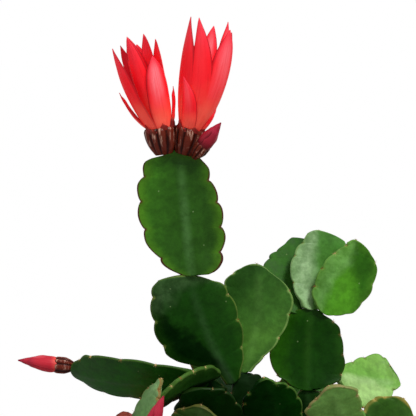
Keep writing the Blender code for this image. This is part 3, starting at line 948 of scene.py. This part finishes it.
# Its pale upper rim is a painted highlight, and its dark lower face painted shade.
segment(
    "left_edge", aim=(-103, 47, -65), turned_by=12, left=9, edge=0.7, moved=(-1.5, 0, -0.8),
    skin=dict(deep=(6, 36, 3), face=(30, 76, 16), light=(50, 100, 32), toward=20, shine=0.1,
              deep_ends=(-0.6, 0.2), light_starts=(0.3, 1.0), rim=(96, 128, 52),
              rim_share=0.35, rim_width=0.4, margin=(24, 58, 12), margin_share=0.5, rib=0.1),
)
segment(
    "front_left", aim=(14, 18, -5), left=9.2, right=12.5, longer=0.94,
    skin=dict(deep=(38, 66, 22), face=(46, 78, 28), light=(58, 90, 36), toward=90,
              rim=(112, 100, 50), rim_share=0.6, margin=(60, 90, 34), rib=0.1),
)
segment(
    "front_low", aim=(-46, 39, 105), left=11, edge=0.7,
    skin=dict(deep=(34, 74, 22), face=(44, 92, 28), light=(62, 114, 38)),
)
segment(
    "left_small", aim=(29, 0, -74), turned_by=12, bend=(0.5, 0), moved=(-1.3, 0, 0),
    left=((0, 2), (0.3, 5.4), (0.6, 5.8), (0.8, 4.2), (0.93, 2.4), (1, 1.2)),
    skin=dict(deep=(76, 114, 58), face=(88, 128, 70), light=(104, 142, 84), toward=90,
              rim=(140, 98, 44), margin=(104, 140, 80), rib=0.1, bloom_and_sheen=0.2, bloom_and_sheen_at=90),
)

# The right side: the dark blade with three on its tip, then the low ones round the
# stems at the front right.
segment(
    "right_low", aim=(-18, 1, -4), left=8.5, edge=0.7,
    skin=dict(deep=(6, 34, 4), face=(10, 44, 6), light=(22, 62, 14),
              rim=(110, 128, 64), margin=(36, 78, 22)),
)
segment(
    "right_dark", aim=(4, -12, -4), bend=(1, -0.5), depth=0.6,
    left=((0, 5.5), (0.1, 9.8), (0.25, 12.6), (0.45, 13.8), (0.7, 12.2), (0.88, 10), (1, 7)),
    right=((0, 7), (0.06, 10.5), (0.15, 12.6), (0.33, 13.9), (0.55, 13), (0.78, 11.2),
           (0.92, 8.4), (1, 4.5)),
    notches=((0.14, 0.46, 0.72, 0.92), (0.2, 0.45, 0.7, 0.9)),
    skin=dict(deep=(12, 54, 0), face=(16, 62, 0), light=(38, 92, 4), toward=180, shine=0.1,
              rim=(70, 70, 24), rim_share=0.6, margin=(40, 86, 16), rib=0.12),
)
segment(
    "right_back", aim=(-8, -32, 14), leaned_by=8, slant=-1, depth=1.2,
    left=((0, 1.8), (0.2, 6), (0.45, 9.9), (0.6, 11), (0.7, 10), (0.8, 8.2), (0.9, 6), (1, 3)),
    right=((0, 1.8), (0.2, 5.5), (0.5, 9.5), (0.8, 10.5), (0.92, 9.8), (1, 8.5)),
    notches=((0.45, 0.72, 0.86), (0.35, 0.6, 0.85)), edge=0.45, areole=0.5,
    skin=dict(deep=(28, 70, 12), face=(46, 96, 26), light=(60, 110, 36), toward=180,
              shine=0.08, gloss=0.5, rim=(50, 84, 34), margin=(46, 92, 30), rib=0.1),
)
segment(
    "right_pale", aim=(9, -20, 16), bend=(1, 0.5), longer=1.01, depth=1, areole=0.5,
    left=((0, 1.8), (0.18, 6.4), (0.35, 8.7), (0.55, 9.3), (0.75, 7.4), (0.88, 5.6), (1, 4.2)),
    right=((0, 3.2), (0.2, 6.8), (0.5, 10.5), (0.8, 12.3), (0.93, 12.3), (1, 10.5)),
    notches=((0.28, 0.62, 0.82), (0.3, 0.55, 0.8, 0.95)), wave=0.9,
    skin=dict(deep=(88, 144, 58), face=(76, 132, 50), light=(68, 126, 44), toward=70,
              rim=(120, 156, 84), margin=(92, 144, 66), rib=0.1, bloom_and_sheen=0.8, bloom_and_sheen_at=195,
              bloom_and_sheen_starts=(-0.3, 0.35)),
)
segment(
    "right_bright", aim=(24, -7, 16), bend=(1, 2), longer=1.015,
    left=((0, 2), (0.05, 5), (0.2, 8.8), (0.45, 9.9), (0.6, 9.1), (0.75, 6.8), (0.87, 4.6),
          (1, 2.5)),
    right=((0, 3.5), (0.04, 6.5), (0.14, 9.7), (0.3, 11.4), (0.52, 12.2), (0.75, 11.6),
           (0.88, 10.6), (1, 6.8)),
    notches=((0.25, 0.5, 0.74, 0.95), (0.3, 0.57, 0.88)), depth=0.8,
    skin=dict(deep=(66, 130, 20), face=(82, 152, 32), light=(46, 100, 18), toward=35,
              deep_ends=(-0.9, -0.2), light_starts=(-0.05, 0.6), shine=0.1,
              rim=(112, 150, 60), margin=(88, 144, 40), rib=0.1, bloom_and_sheen=0.22, bloom_and_sheen_at=165,
              bloom_and_sheen_starts=(0.0, 0.4)),
)
segment(
    "right_riser", aim=(11, -16, -10), left=7.5, edge=0.7,
    skin=dict(deep=(20, 54, 14), face=(30, 70, 20), light=(42, 88, 28)),
)
# Its pale rib is partly the real midrib and partly a painted highlight along it.
segment(
    "far_right", aim=(101, -24, -41), longer=1.07, edge=0.45, cup=1.2, depth=1,
    left=((0, 1.8), (0.06, 4.2), (0.15, 6.4), (0.35, 9), (0.55, 11), (0.7, 11.8), (0.82, 10.7),
          (0.93, 7.8), (1, 4)),
    right=((0, 1.8), (0.1, 6.5), (0.33, 12), (0.47, 11.6), (0.65, 9), (0.8, 6.2), (0.92, 3.4),
           (1, 2)),
    notches=((0.26, 0.48, 0.8, 0.93), (0.3, 0.6, 0.9)),
    skin=dict(deep=(122, 170, 74), face=(112, 168, 68), light=(158, 198, 118), toward=330,
              deep_ends=(-0.8, -0.1), light_starts=(-0.1, 0.35), rim=(96, 140, 50),
              margin=(120, 178, 72), margin_share=0.5, rib=0.25, rib_colour=(190, 222, 160)),
)
segment(
    "front_right", aim=(-24, 22, -8), edge=0.75, depth=1.1,
    left=((0, 1.8), (0.3, 9), (0.6, 11.8), (0.78, 11.4), (0.87, 9.6), (0.95, 6.4), (1, 3.5)),
    right=((0, 1.8), (0.3, 6.2), (0.56, 7.4), (0.7, 7.9), (0.84, 8.6), (0.93, 7.2), (1, 4.8)),
    notches=((0.5, 0.7, 0.86, 0.95), (0.3, 0.55, 0.77)),
    skin=dict(deep=(96, 146, 66), face=(106, 158, 74), light=(114, 164, 82), toward=130,
              rim=(150, 124, 84), rim_width=0.6, rim_far=0, margin=(104, 152, 66), rib=0.15),
)
segment(
    "bottom_right", aim=(36, -11, 0), slant=0.2, left=9.8, right=12.5, edge=0.6, longer=1.03,
    skin=dict(deep=(34, 72, 10), face=(42, 82, 15), light=(55, 95, 27), toward=40,
              rim=(196, 168, 84), rim_width=1.3, rim_share=0.7, margin=(76, 124, 42), rib=0.1),
)
segment(
    "back_left", aim=(-31, -11, 20), left=5, right=11, edge=0.6,
    skin=dict(deep=(8, 44, 4), face=(12, 54, 6), light=(30, 82, 18), toward=90),
)
segment(
    "back_right", aim=(53, -20, -20), left=9, edge=0.6,
    skin=dict(deep=(32, 78, 20), face=(44, 94, 28), light=(62, 114, 38)),
)


# ---------------------------------------------------------------------------------
# The areoles. Every notch and tip of a segment carries one, a small pad of wool with
# short golden bristles, which the next segment or flower grows out of.

WOOL_PAD = 0.55
WOOL_DARK, WOOL_LIGHT = (122, 84, 46), (196, 168, 116)
TUFT_RADIUS = 0.3
BRISTLE_LENGTH = 1.15
BRISTLE_RADIUS = 0.07
BRISTLE_DARK, BRISTLE_LIGHT = (150, 96, 44), (214, 184, 128)


def marked(places, ways, sizes):
    """A host mesh of single points in metres, each with its way out and its size."""
    host = bpy.data.meshes.new("places")
    host.from_pydata(np.array(places).tolist(), [], [])
    for key, kind, field, values in (
        ("way_out", "FLOAT_VECTOR", "vector", ways), ("pad_size", "FLOAT", "value", sizes),
    ):
        layer = host.attributes.new(key, kind, "POINT")
        layer.data.foreach_set(field, np.array(values).ravel())
    return host


def marks_of(places):
    """The size and the way out that the host mesh holds for each point."""
    return [node(
        places, "GeometryNodeInputNamedAttribute", {"Name": name}, data_type=kind
    ).outputs[0] for name, kind in (("pad_size", "FLOAT"), ("way_out", "FLOAT_VECTOR"))]


def aimed(way):
    """The turn that lays a copy's own Z along the way."""
    return node(way, "FunctionNodeAlignRotationToVector", {"Vector": way}, axis="Z").outputs[0]


def tuft(places):
    """Bristles that stand out all round a small ball."""
    bristle = node(places, "GeometryNodeMeshCone", {
        "Vertices": 4, "Radius Top": 0.0, "Radius Bottom": BRISTLE_RADIUS,
        "Depth": BRISTLE_LENGTH,
    }, fill_type="NGON").outputs[0]
    outwards = aimed(node(places, "GeometryNodeInputNormal").outputs[0])
    feet = ball(places, TUFT_RADIUS, 1)
    return real(cloned(bristle, feet, 1.0, 0.4, 3, (1, 1, 1), outwards))


def pad(places):
    """The cushion of wool that a tuft stands on."""
    return ball(places, WOOL_PAD)


spots, ways, sizes = zip(*areoles)
host = marked(np.array(spots) * MM, ways, sizes)
for name, shape_of, wild, tall, seed, dark, light, gloss, shine, bumps in (
    ("areole_wool", pad, 0.3, (1, 1, 0.7), 4, WOOL_DARK, WOOL_LIGHT, 0.95, 0.1, (0.2,)),
    ("areole_bristles", tuft, 0.25, (1, 1, 1), 5, BRISTLE_DARK, BRISTLE_LIGHT, 0.7, 0.2, ()),
):
    material, where = new_skin(name.replace("bristles", "bristle"))
    colour = tinted(dark, (ease(grain(where, 130, 2), 0.4, 0.6), light))
    finish(where, colour, gloss, shine, *((grain(where, 3000, 2), high) for high in bumps))
    places, size, draw = node_group(name, "Size", "Seed")
    pad_size, way = marks_of(places)
    copies = cloned(
        shape_of(places), places, times(pad_size, size), wild, draw, tall, aimed(way)
    )
    grow(name, host, copies, material, "wood", Size=MM, Seed=seed)


# ---------------------------------------------------------------------------------
# The flowers. Each one is a funnel of pointed petals in three whorls on a short tube,
# above a glossy ribbed ovary. A bundle of stamens and the style stand inside it.

FLOWERS = {  # lean of its CAD node and its own, girth, how far its petals spread, how full it
    # is at mid height, how far it bows to its right there, how far its cup and foot are moved
    "left": (-15, -16.6, 1.0, 1.0, 0.4, -0.8, (0.5, 0, 0.2), (-0.6, 0, 1.0)),
    "right": (12, 12, 0.92, 1.1, 1.85, 0.6, (0.1, 0, -1.8), (-0.1, 0, -0.7)),
}
OVARY_LENGTH = 9
CUP_GAP = 0.3
OVARY_GIRTH = 6.0
OVARY_SHAPE = (  # height and radius as shares
    (-0.1, 0.5), (0.0, 0.6), (0.18, 0.76), (0.42, 0.89), (0.68, 0.97), (0.92, 1.0),
    (1.03, 0.96), (1.09, 0.89), (1.07, 0.78),
)
OVARY_RIBS = 9
OVARY_DEEP, OVARY_CREST, OVARY_GLINT = (44, 8, 4), (106, 38, 24), (238, 190, 166)
RIB_DEPTH = 0.16
RIB_SWAY = 0.04
RIB_SIDES = 14
RIB_ROWS = 34
TUBE_PROFILE = ((0, -1.2), (3.2, -1.2), (3.65, 0), (3.7, 1.2), (3.4, 2.2), (3.1, 1.6),
                (2.4, -0.2), (0, -0.4))
TUBE_STEP, TUBE_SIDES = 0.6, 48
PETALS = {  # whorl, angle (0 is the flower's right, -90 its front), how far round from there its tip is, length, width, painted highlight or, below 0, how much painted shade it gets
    # there its tip is, length, width, sheen or, below 0, how dark it is
    "left": (
        ("low", 184, 0, 16.7, 4.2, 0.1), ("short", 2, 0, 13.5, 3.8, 0.2),
        ("outer", 206, -4, 32, 9.6, -0.12), ("outer", -58, 4, 25.7, 9.4, 0.75),
        ("outer", 30, 0, 31, 9.6, 0.1), ("outer", 88, 0, 31, 9, 0),
        ("inner", 102, 6, 34.3, 8.2, 0.1), ("inner", 54, 0, 33.8, 8, 0.1),
        ("inner", 134, 10, 32.2, 6.6, -1), ("inner", -106, 1, 34.4, 6.8, 0.05),
    ),
    "right": (
        ("short", -104, -32, 18.4, 6, 0.35), ("tucked", -10, 0, 9.9, 3.4, 0),
        ("outer", 218, -21, 39, 10.6, -0.3), ("outer", -85, -42, 39.3, 7.8, 0.15),
        ("outer", -40, 2, 37.3, 12, 0.5), ("outer", 90, 0, 34, 9, 0),
        ("inner", -84, 0, 37.5, 7.8, 1.0), ("inner", 114, 0, 35.2, 7.4, 0.3),
        ("inner", -33, 0, 39.9, 7, 1.0), ("outer", 26, 0, 36.6, 9, -0.3),
        ("inner", 228, -26, 29.5, 8, -1),
    ),
}
CAD_PETALS = 9
WHORLS = {  # radius at its foot and what it gains, share of the flower's bulge
    "low": (3.2, 6.3, 0.0), "tucked": (4.2, 3.1, 0.0), "short": (4.0, 4.0, 0.3),
    "outer": (3.8, 4.0, 1.0), "inner": (2.6, 3.2, 1.0),
}
PETAL_OUTLINE = (  # share of the length, share of the width
    (0, 0.8), (0.15, 0.93), (0.3, 1), (0.52, 0.98), (0.7, 0.84), (0.85, 0.56), (0.95, 0.24),
    (1, 0.03),
)
SEPALS = 8
SEPAL_FIRST, SEPAL_STRAYS = 20, 14  # degrees: the first one's place, how far they stray
SEPAL_RADIUS = (4.7, 0.5)  # at its foot, and what it gains
SEPAL_LENGTH = (3.2, 1.5)  # and how far they differ
SEPAL_WIDTH = (3.7, 0.7)
SEPAL_SINKS = 1.4
SEPAL_OUTLINE = ((0, 1), (0.35, 0.92), (0.6, 0.62), (0.85, 0.22), (1, 0.04))
PETAL_ROWS = 26
PETAL_COLUMNS = (-1, -0.92, -0.72, -0.48, -0.24, 0, 0.24, 0.48, 0.72, 0.92, 1)
PETAL_HALF_THICKNESS = 0.26
EDGE_THINNER, PETAL_TIP_THINNER = 0.8, 0.45  # shares of it that are lost there
PETAL_LAY = 0.35  # how much further out one edge lies, so that it covers its neighbour
PETAL_KEEL = 0.45  # how far the middle stands out
PETAL_UNEVEN = 0.3
PETAL_FRAY = 0.35  # how far its edges run up and down
PETAL_SINKS = 0.6
PETAL_CURL = 1.8
# The pale pink of the painted highlight on the petals.
PETAL_SHEEN = (254, 148, 158)
TIP_CURL = 0.7
STAMENS = 34
STAMEN_REACH = {"left": 18.0, "right": 20.0}
STAMEN_RING = 1.7  # radius of the ring that they stand in
STAMEN_GAP = 3  # places in the middle that are left to the style
STAMEN_UNEVEN = 0.2  # share of the reach by which they differ
STAMEN_SPREAD = 1.4
STAMEN_SINKS = 0.8
STAMEN_TURN = 2.39996  # from one to the next, the golden angle
FILAMENT_RADIUS = 0.16
ANTHER_SIZE = 0.45
ANTHER_SHAPE = (0.6, 0.6, 1.3)
STYLE_FOOT = ((0, -0.5), (0.45, -0.5), (0.36, 2))
STIGMA = ((0.34, 3), (0.5, 2.2), (0.9, 1.4), (1.0, 0.6), (0.6, 0.1), (0, 0))  # radius, drop
STIGMA_ABOVE = 1.4  # how far the stigma reaches beyond the stamens
STIGMA_LOBES = 6
STIGMA_DEPTH = 0.22  # of its lobes, as a share of its radius
STIGMA_FOOT, STIGMA_FULL = 0.9, 0.95  # shares of the style's height
STYLE_STEP, STYLE_SIDES = 1.5, 24
FILAMENT_PINK, ANTHER_YELLOW = (240, 196, 190), (236, 206, 120)
STYLE_PINK, STYLE_CREAM = (224, 120, 120), (250, 240, 226)


def petal(radius_at, angle, length, width, sheen, seed, start_z, place, rotation,
          lay=PETAL_LAY, keel=PETAL_KEEL, outline=PETAL_OUTLINE, turn=0):
    """One petal's mesh. It wraps round the flower's axis at radius_at(share), and its
    tip is turned that much further round."""
    share = np.linspace(0, 1, PETAL_ROWS)[:, None]
    columns = np.array(PETAL_COLUMNS)
    across = np.concatenate([columns, columns[::-1]])[None, :]
    outer = np.concatenate([1 + 0 * columns, -1 + 0 * columns])[None, :]
    half = width / 2 * through(outline, share)
    radius = radius_at(share)
    thick = PETAL_HALF_THICKNESS * (1 - EDGE_THINNER * across**4) * (1 - PETAL_TIP_THINNER * share)
    uneven = ripples(across, share, seed * 7.3 + 1, (0.8, 2.6))
    shaped = smooth(share, 0, 0.25) * (1 - smooth(share, 0.8, 1))
    raised = lay * across + keel * (1 - across**2) + PETAL_UNEVEN * uneven
    out = radius + shaped * raised + outer * thick
    around = np.radians(angle + turn * share**3) + across * half / np.maximum(radius, 0.8)
    drop = PETAL_FRAY * uneven * np.abs(across)
    rings = np.stack([
        out * np.cos(around), out * np.sin(around), share * length + start_z + drop,
    ], -1)
    still = 0 * (across + share)
    return ringed(
        rings @ rotation.T + place, across=across + still, along=share + still,
        inside=(1 - outer) / 2 + still, sheen=sheen + still,
    )


def joined(meshes):
    """The meshes as one."""
    shape = bmesh.new()
    for mesh in meshes:
        shape.from_mesh(mesh)
        bpy.data.meshes.remove(mesh)
    whole = bpy.data.meshes.new("joined")
    shape.to_mesh(whole)
    shape.free()
    whole.shade_smooth()
    return whole


def petal_skin(name, foot, middle, tip, inside, painted_glow, foot_end=0.3):
    """A petal's colours from its foot to its tip, with fine veins along it, painted shade deep in
    the cup and along its edges, and a pale painted highlight where the attribute asks for it,
    or painted shade where it is below 0. It gives off a little light, painted light that
    stands for the light thin petals let through."""
    made, where = new_skin(name)
    along, across, within, sheen = read(where, "along", "across", "inside", "sheen")
    veins = node(where, "ShaderNodeTexNoise", {
        "Vector": node(where, "ShaderNodeCombineXYZ", {
            0: times(across, 9.0), 1: times(along, 2.0), 2: 0.3,
        }).outputs[0], "Scale": 1.7, "Detail": 5.0,
    }).outputs[0]
    cloud = grain(where, 160, 3)
    uneven = reckoned("MULTIPLY_ADD", cloud, 0.3, -0.15)
    height = reckoned("ADD", along, uneven)
    # Painted shade on the inner faces, deep in the cup.
    throat_shade = ease(height, 0.75, 0.45, 0.15, 0.85)
    side = reckoned("ABSOLUTE", across)
    off_middle = reckoned("ABSOLUTE", reckoned("ADD", across, 0.1))
    shown = times(
        ease(height, 0.2, 0.75), ease(along, 1, 0.8),
        ease(off_middle, 0.8, 0.1), ease(veins, 0.6, 0.4, 0.65, 1),
        ease(sheen, 0, 1),
    )
    # Painted shade: the darker inner faces deep in the cup, the darker edges where petals overlap,
    # and sheen below 0; above 0 it lays on a painted pink highlight.
    colour = tinted(
        foot, (ease(height, 0.02, foot_end), middle),
        (ease(height, 0.6, 1.0), tip), (times(within, throat_shade), inside),
        (ease(veins, 0.5, 0.66, 0, 0.22), inside),
        (ease(side, 0.76, 1.0, 0, 0.75), inside), (shown, PETAL_SHEEN),
        (ease(sheen, 0, -1, 0, 0.85), inside),
    )
    # Painted light: the petal gives off a little light of its middle colour, for the light that
    # comes through it.
    finish(where, colour, 0.45, 0.2, (veins, 0.12), (cloud, 0.1),
           painted_glow={"Emission Color": screen(*middle), "Emission Strength": painted_glow})
    return made


def ribbed(shape, length, girth, ribs, place, rotation, seed):
    """A ribbed body round an axis, as the ovaries and the feet of the buds are."""
    angles = np.linspace(0, 2 * math.pi, ribs * RIB_SIDES, endpoint=False)
    heights = np.linspace(0, 1, RIB_ROWS)
    steps = np.interp(heights, np.linspace(0, 1, len(shape)), np.arange(len(shape)))
    up, out = (through(list(enumerate(values)), steps)[:, None] for values in zip(*shape))
    crest = np.abs(np.cos(angles * ribs / 2 + 0.6 * np.sin(angles * 2 + seed))) ** 0.7
    fade = (smooth(heights, 0.06, 0.3) * (1 - smooth(heights, 0.88, 1)))[:, None]
    sway = 1 + RIB_SWAY * np.sin(angles * 3 + seed + up * 2)
    radius = girth * out * sway * (1 - RIB_DEPTH * fade * (1 - crest))
    rings = np.stack([
        radius * np.cos(angles), radius * np.sin(angles), up * length + 0 * angles,
    ], -1)
    return ringed(
        rings @ rotation.T + place, rib=np.broadcast_to(crest, radius.shape),
        along=np.broadcast_to(heights[:, None], radius.shape),
    )


ovary_brown, where = new_skin("ovary_skin")
rib, along = read(where, "rib", "along")
long_way = node(where, "ShaderNodeVectorMath", {
    0: where, 1: (1.0, 1.0, 0.18),
}, operation="MULTIPLY").outputs[0]
cloud = grain(where, 240, 4, 0.6)
glint_noise = grain(long_way, 900, 3, 0.6)
uneven = reckoned("ADD", rib, reckoned("MULTIPLY_ADD", cloud, 1.2, -0.6))
# Painted highlights: pale streaks on the rib crests stand for the lamp's glint on the glossy skin.
painted_light = times(ease(glint_noise, 0.5, 0.64), ease(along, 0.15, 0.55, 0, 0.7),
               ease(rib, 0.6, 0.95))
colour = tinted(
    OVARY_DEEP, (ease(uneven, 0.2, 1.0), OVARY_CREST), (painted_light, OVARY_GLINT)
)
finish(where, colour, 0.28, 0.14, (cloud, 0.35))
scale_red = petal_skin(
    "sepal_skin", (64, 18, 12), (128, 32, 26), (214, 64, 54), (90, 18, 16), 0.01
)
flower_red = petal_skin(
    "petal_skin", (255, 112, 88), (255, 26, 38), (255, 58, 78), (104, 0, 12), 0.2, 0.5
)

cups = {}
for side, settings in FLOWERS.items():
    cad_lean, lean, girth, spread_by, fullness, bow, cup_moved, foot_moved = settings
    rotation = turning(cad_lean)
    foot, _length = foot_of(f"ovary_{side}", rotation)
    cup = foot + rotation @ np.array([0, 0, OVARY_LENGTH + CUP_GAP]) + np.array(cup_moved)
    foot = foot + np.array(foot_moved)
    rotation = turning(lean)
    cups[side] = cup, rotation
    stalk = cup - foot
    aim = turning(math.degrees(math.atan2(stalk[0], stalk[2])))
    piece(f"ovary_body_{side}", ribbed(
        OVARY_SHAPE, np.linalg.norm(stalk) - CUP_GAP, OVARY_GIRTH * girth, OVARY_RIBS, foot,
        aim, len(side),
    ), ovary_brown, "ovary", f"ovary_{side}")
    sepals = [petal(
        lambda share: girth * (SEPAL_RADIUS[0] + SEPAL_RADIUS[1] * share),
        360 * number / SEPALS + SEPAL_STRAYS * math.sin(number * 3.7) + SEPAL_FIRST,
        SEPAL_LENGTH[0] + SEPAL_LENGTH[1] * math.sin(number * 2.1),
        SEPAL_WIDTH[0] + SEPAL_WIDTH[1] * math.cos(number * 1.3), 0.0,
        number + 40, -SEPAL_SINKS, cup, rotation, outline=SEPAL_OUTLINE,
    ) for number in range(SEPALS)]
    piece(f"sepals_{side}", joined(sepals), scale_red, "ovary")
    tube = turned(np.array(TUBE_PROFILE) * (girth, 1), TUBE_STEP, TUBE_SIDES)
    still = 0 * tube[..., 2]
    piece(f"flower_tube_{side}", ringed(
        tube @ rotation.T + cup, caps=(), along=still, across=still, inside=still, sheen=still,
    ), flower_red, "petal")
    for number, (whorl, angle, turn, length, width, sheen) in enumerate(PETALS[side], 1):
        start, spread, bulge_share = WHORLS[whorl]

        def radius_at(share):
            bulge = (fullness + bow * math.cos(math.radians(angle))) * bulge_share
            curl = TIP_CURL * smooth(share, 0.75, 1.1) + bulge * np.sin(math.pi * share)
            opened = spread_by * spread * girth * (1 - (1 - share) ** PETAL_CURL)
            return start * girth + opened + curl

        stands_for = [f"petal_{side}_{number}"] if number <= CAD_PETALS else []
        piece(f"{whorl}_petal_{side}_{number}", petal(
            radius_at, angle, length, width, sheen, number + len(side), -PETAL_SINKS, cup,
            rotation, turn=turn,
        ), flower_red, "petal", *stands_for)

filament_skin, where = new_skin("filament_skin")
finish(where, screen(*FILAMENT_PINK), 0.6, 0.2)
anther_skin, where = new_skin("anther_skin")
finish(where, screen(*ANTHER_YELLOW), 0.8, 0.1)
style_skin, where = new_skin("style_skin")
pale_end = ease(*read(where, "along"), 0.5, 0.8)
finish(where, tinted(STYLE_PINK, (pale_end, STYLE_CREAM)), 0.5, 0.2)
for side, (cup, rotation) in cups.items():
    starts, directions, lengths = [], [], []
    for number in range(STAMENS):
        around = number * STAMEN_TURN
        out = math.sqrt((number + STAMEN_GAP) / (STAMENS + STAMEN_GAP))
        ring = STAMEN_RING * out
        start = np.array([ring * math.cos(around), ring * math.sin(around), -STAMEN_SINKS])
        end = start * (1 + STAMEN_SPREAD / STAMEN_RING * out)
        shorter = STAMEN_UNEVEN * (1 - math.sin(number * 5.1) * out)
        end[2] = STAMEN_REACH[side] * (1 - shorter)
        starts.append((cup + rotation @ start) * MM)
        way = rotation @ (end - start)
        lengths.append(np.linalg.norm(way) * MM)
        directions.append(way / np.linalg.norm(way))
    stalks = marked(starts, directions, lengths)

    places, radius = node_group("filaments", "Radius")
    tall, way = marks_of(places)
    stalk = node(places, "GeometryNodeMeshCone", {
        "Vertices": 6, "Side Segments": 3, "Radius Top": 0.6, "Radius Bottom": 1.0, "Depth": 1.0,
    }).outputs[0]
    thin, stretched = (node(places, "ShaderNodeCombineXYZ", {
        0: width, 1: width, 2: reach,
    }).outputs[0] for width, reach in ((radius, 1.0), (1.0, tall)))
    stalk = node(stalk, "GeometryNodeTransform", {"Geometry": stalk, "Scale": thin}).outputs[0]
    grow(f"filaments_{side}", stalks, cloned(
        stalk, places, 1.0, 0.0, 1, stretched, aimed(way),
    ), filament_skin, "stamen", f"stamens_{side}", Radius=FILAMENT_RADIUS * MM)

    places, size = node_group("anthers", "Size")
    tall, way = marks_of(places)
    reach = node(way, "ShaderNodeVectorMath", {0: way, "Scale": tall}, operation="SCALE")
    ends = node(places, "GeometryNodeSetPosition", {
        "Geometry": places, "Offset": reach.outputs[0],
    }).outputs[0]
    grow(f"anthers_{side}", stalks, cloned(
        ball(places, 1.0), ends, size, 0.2, 6, ANTHER_SHAPE, aimed(way),
    ), anther_skin, "stamen", Size=ANTHER_SIZE * MM)

    style_end = STAMEN_REACH[side] + STIGMA_ABOVE
    style = [*STYLE_FOOT, *((radius, style_end - drop) for radius, drop in STIGMA)]
    rings = turned(style, STYLE_STEP, STYLE_SIDES)
    tall = rings[..., 2] / style_end
    lobes = np.arctan2(rings[..., 1], rings[..., 0]) * STIGMA_LOBES
    shown = smooth(tall, STIGMA_FOOT, STIGMA_FULL)
    rings[..., :2] *= (1 + STIGMA_DEPTH * np.cos(lobes) * shown)[..., None]
    piece(f"pistil_{side}", ringed(rings @ rotation.T + cup, caps=(), along=tall),
          style_skin, "stamen", f"style_{side}")


# ---------------------------------------------------------------------------------
# The buds. A bud is a spindle of tightly wrapped petals on a small brown ribbed foot.
# It opens from the tip, so the outer petals end lower and leave the inner ones bare.

BUDS = (  # CAD node, its lean and tilt, own lean, foot moved by, length's share, radius,
    # foot's share, how blunt its tip is, its colour
    ("bud_top", 34, 22, 37, (-2.2, 0, -1.6), 1.17, 2.65, 0.36, 0.0, "crimson"),
    ("bud_long_left", -84, 2, -83, (1.2, 0, 0), 1.01, 2.75, 0.34, 0.0, "coral"),
    ("bud_red", 33, 8, 22, (0, 0, 0), 1.08, 2.7, 0.2, 0.2, "pink"),
    ("bud_round", -28, 0, -8, (0.8, 0, 0), 0.92, 3.0, 0.75, 0.75, "brown"),
)
BUD_FOOT_SHAPE = (
    (-0.1, 0.4), (0.0, 0.5), (0.25, 0.8), (0.55, 1.0), (0.85, 1.0), (1.0, 0.9), (1.08, 0.75),
)
BUD_RIBS = 7
BUD_FOOT_GIRTH = 1.1  # times the bud's radius
BUD_SPINDLE = ((0, 0.86), (0.2, 1), (0.4, 0.94), (0.65, 0.62), (0.85, 0.28), (1, 0.05))
BUD_FOOT_HOLDS = 0.8  # share of the foot's length at which the petals come out of it
WRAPS = (  # three petals of each kind: first angle, share of the radius, share of the length
    (25, 0.92, 0.8), (85, 0.78, 1.0),
)
WRAP_WIDTH = 3.3  # times the bud's radius
WRAP_LAY, WRAP_KEEL = 0.25, 0.2
# How much painted highlight the first wrapped petal gets, and the others.
FIRST_SHEEN, WRAP_SHEEN = 0.35, 0.1
BUD_COLOURS = {  # foot, middle, tip, inside, emission as painted light, where the foot's colour ends
    "crimson": ((92, 20, 24), (160, 26, 46), (186, 36, 66), (110, 12, 26), 0.04, 0.5),
    "coral": ((250, 92, 76), (196, 38, 54), (156, 28, 52), (130, 12, 30), 0.05),
    "pink": ((140, 22, 40), (178, 30, 56), (192, 48, 70), (130, 14, 34), 0.05),
    "brown": ((84, 40, 26), (110, 44, 32), (140, 60, 44), (70, 24, 18), 0.0),
}
for cad_node, cad_lean, tilt, lean, moved, longer, radius, foot_share, blunt, colour in BUDS:
    foot, length = foot_of(cad_node, turning(cad_lean, tilt))
    foot = foot + np.array(moved)
    rotation = turning(lean, tilt)
    length *= longer
    foot_length = length * foot_share
    piece(f"{cad_node}_foot", ribbed(
        BUD_FOOT_SHAPE, foot_length, radius * BUD_FOOT_GIRTH, BUD_RIBS, foot, rotation, length,
    ), ovary_brown, "ovary")
    held = foot_length * BUD_FOOT_HOLDS
    wraps = []
    for first, shrink, shorter in WRAPS:
        def spindle_at(share):
            slim = through(BUD_SPINDLE, share * shorter)
            full = 1 - (share * shorter) ** 3
            return radius * shrink * (slim + blunt * (1 - slim) * full)

        for _turn in range(3):
            number = len(wraps)
            wraps.append(petal(
                spindle_at, 120 * number + first, (length - held) * shorter,
                radius * WRAP_WIDTH, WRAP_SHEEN if number else FIRST_SHEEN, number + 60,
                held, foot, rotation, WRAP_LAY, WRAP_KEEL,
            ))
    bud_skin = petal_skin(f"bud_{colour}", *BUD_COLOURS[colour])
    piece(f"{cad_node}_petals", joined(wraps), bud_skin, "bud", cad_node)
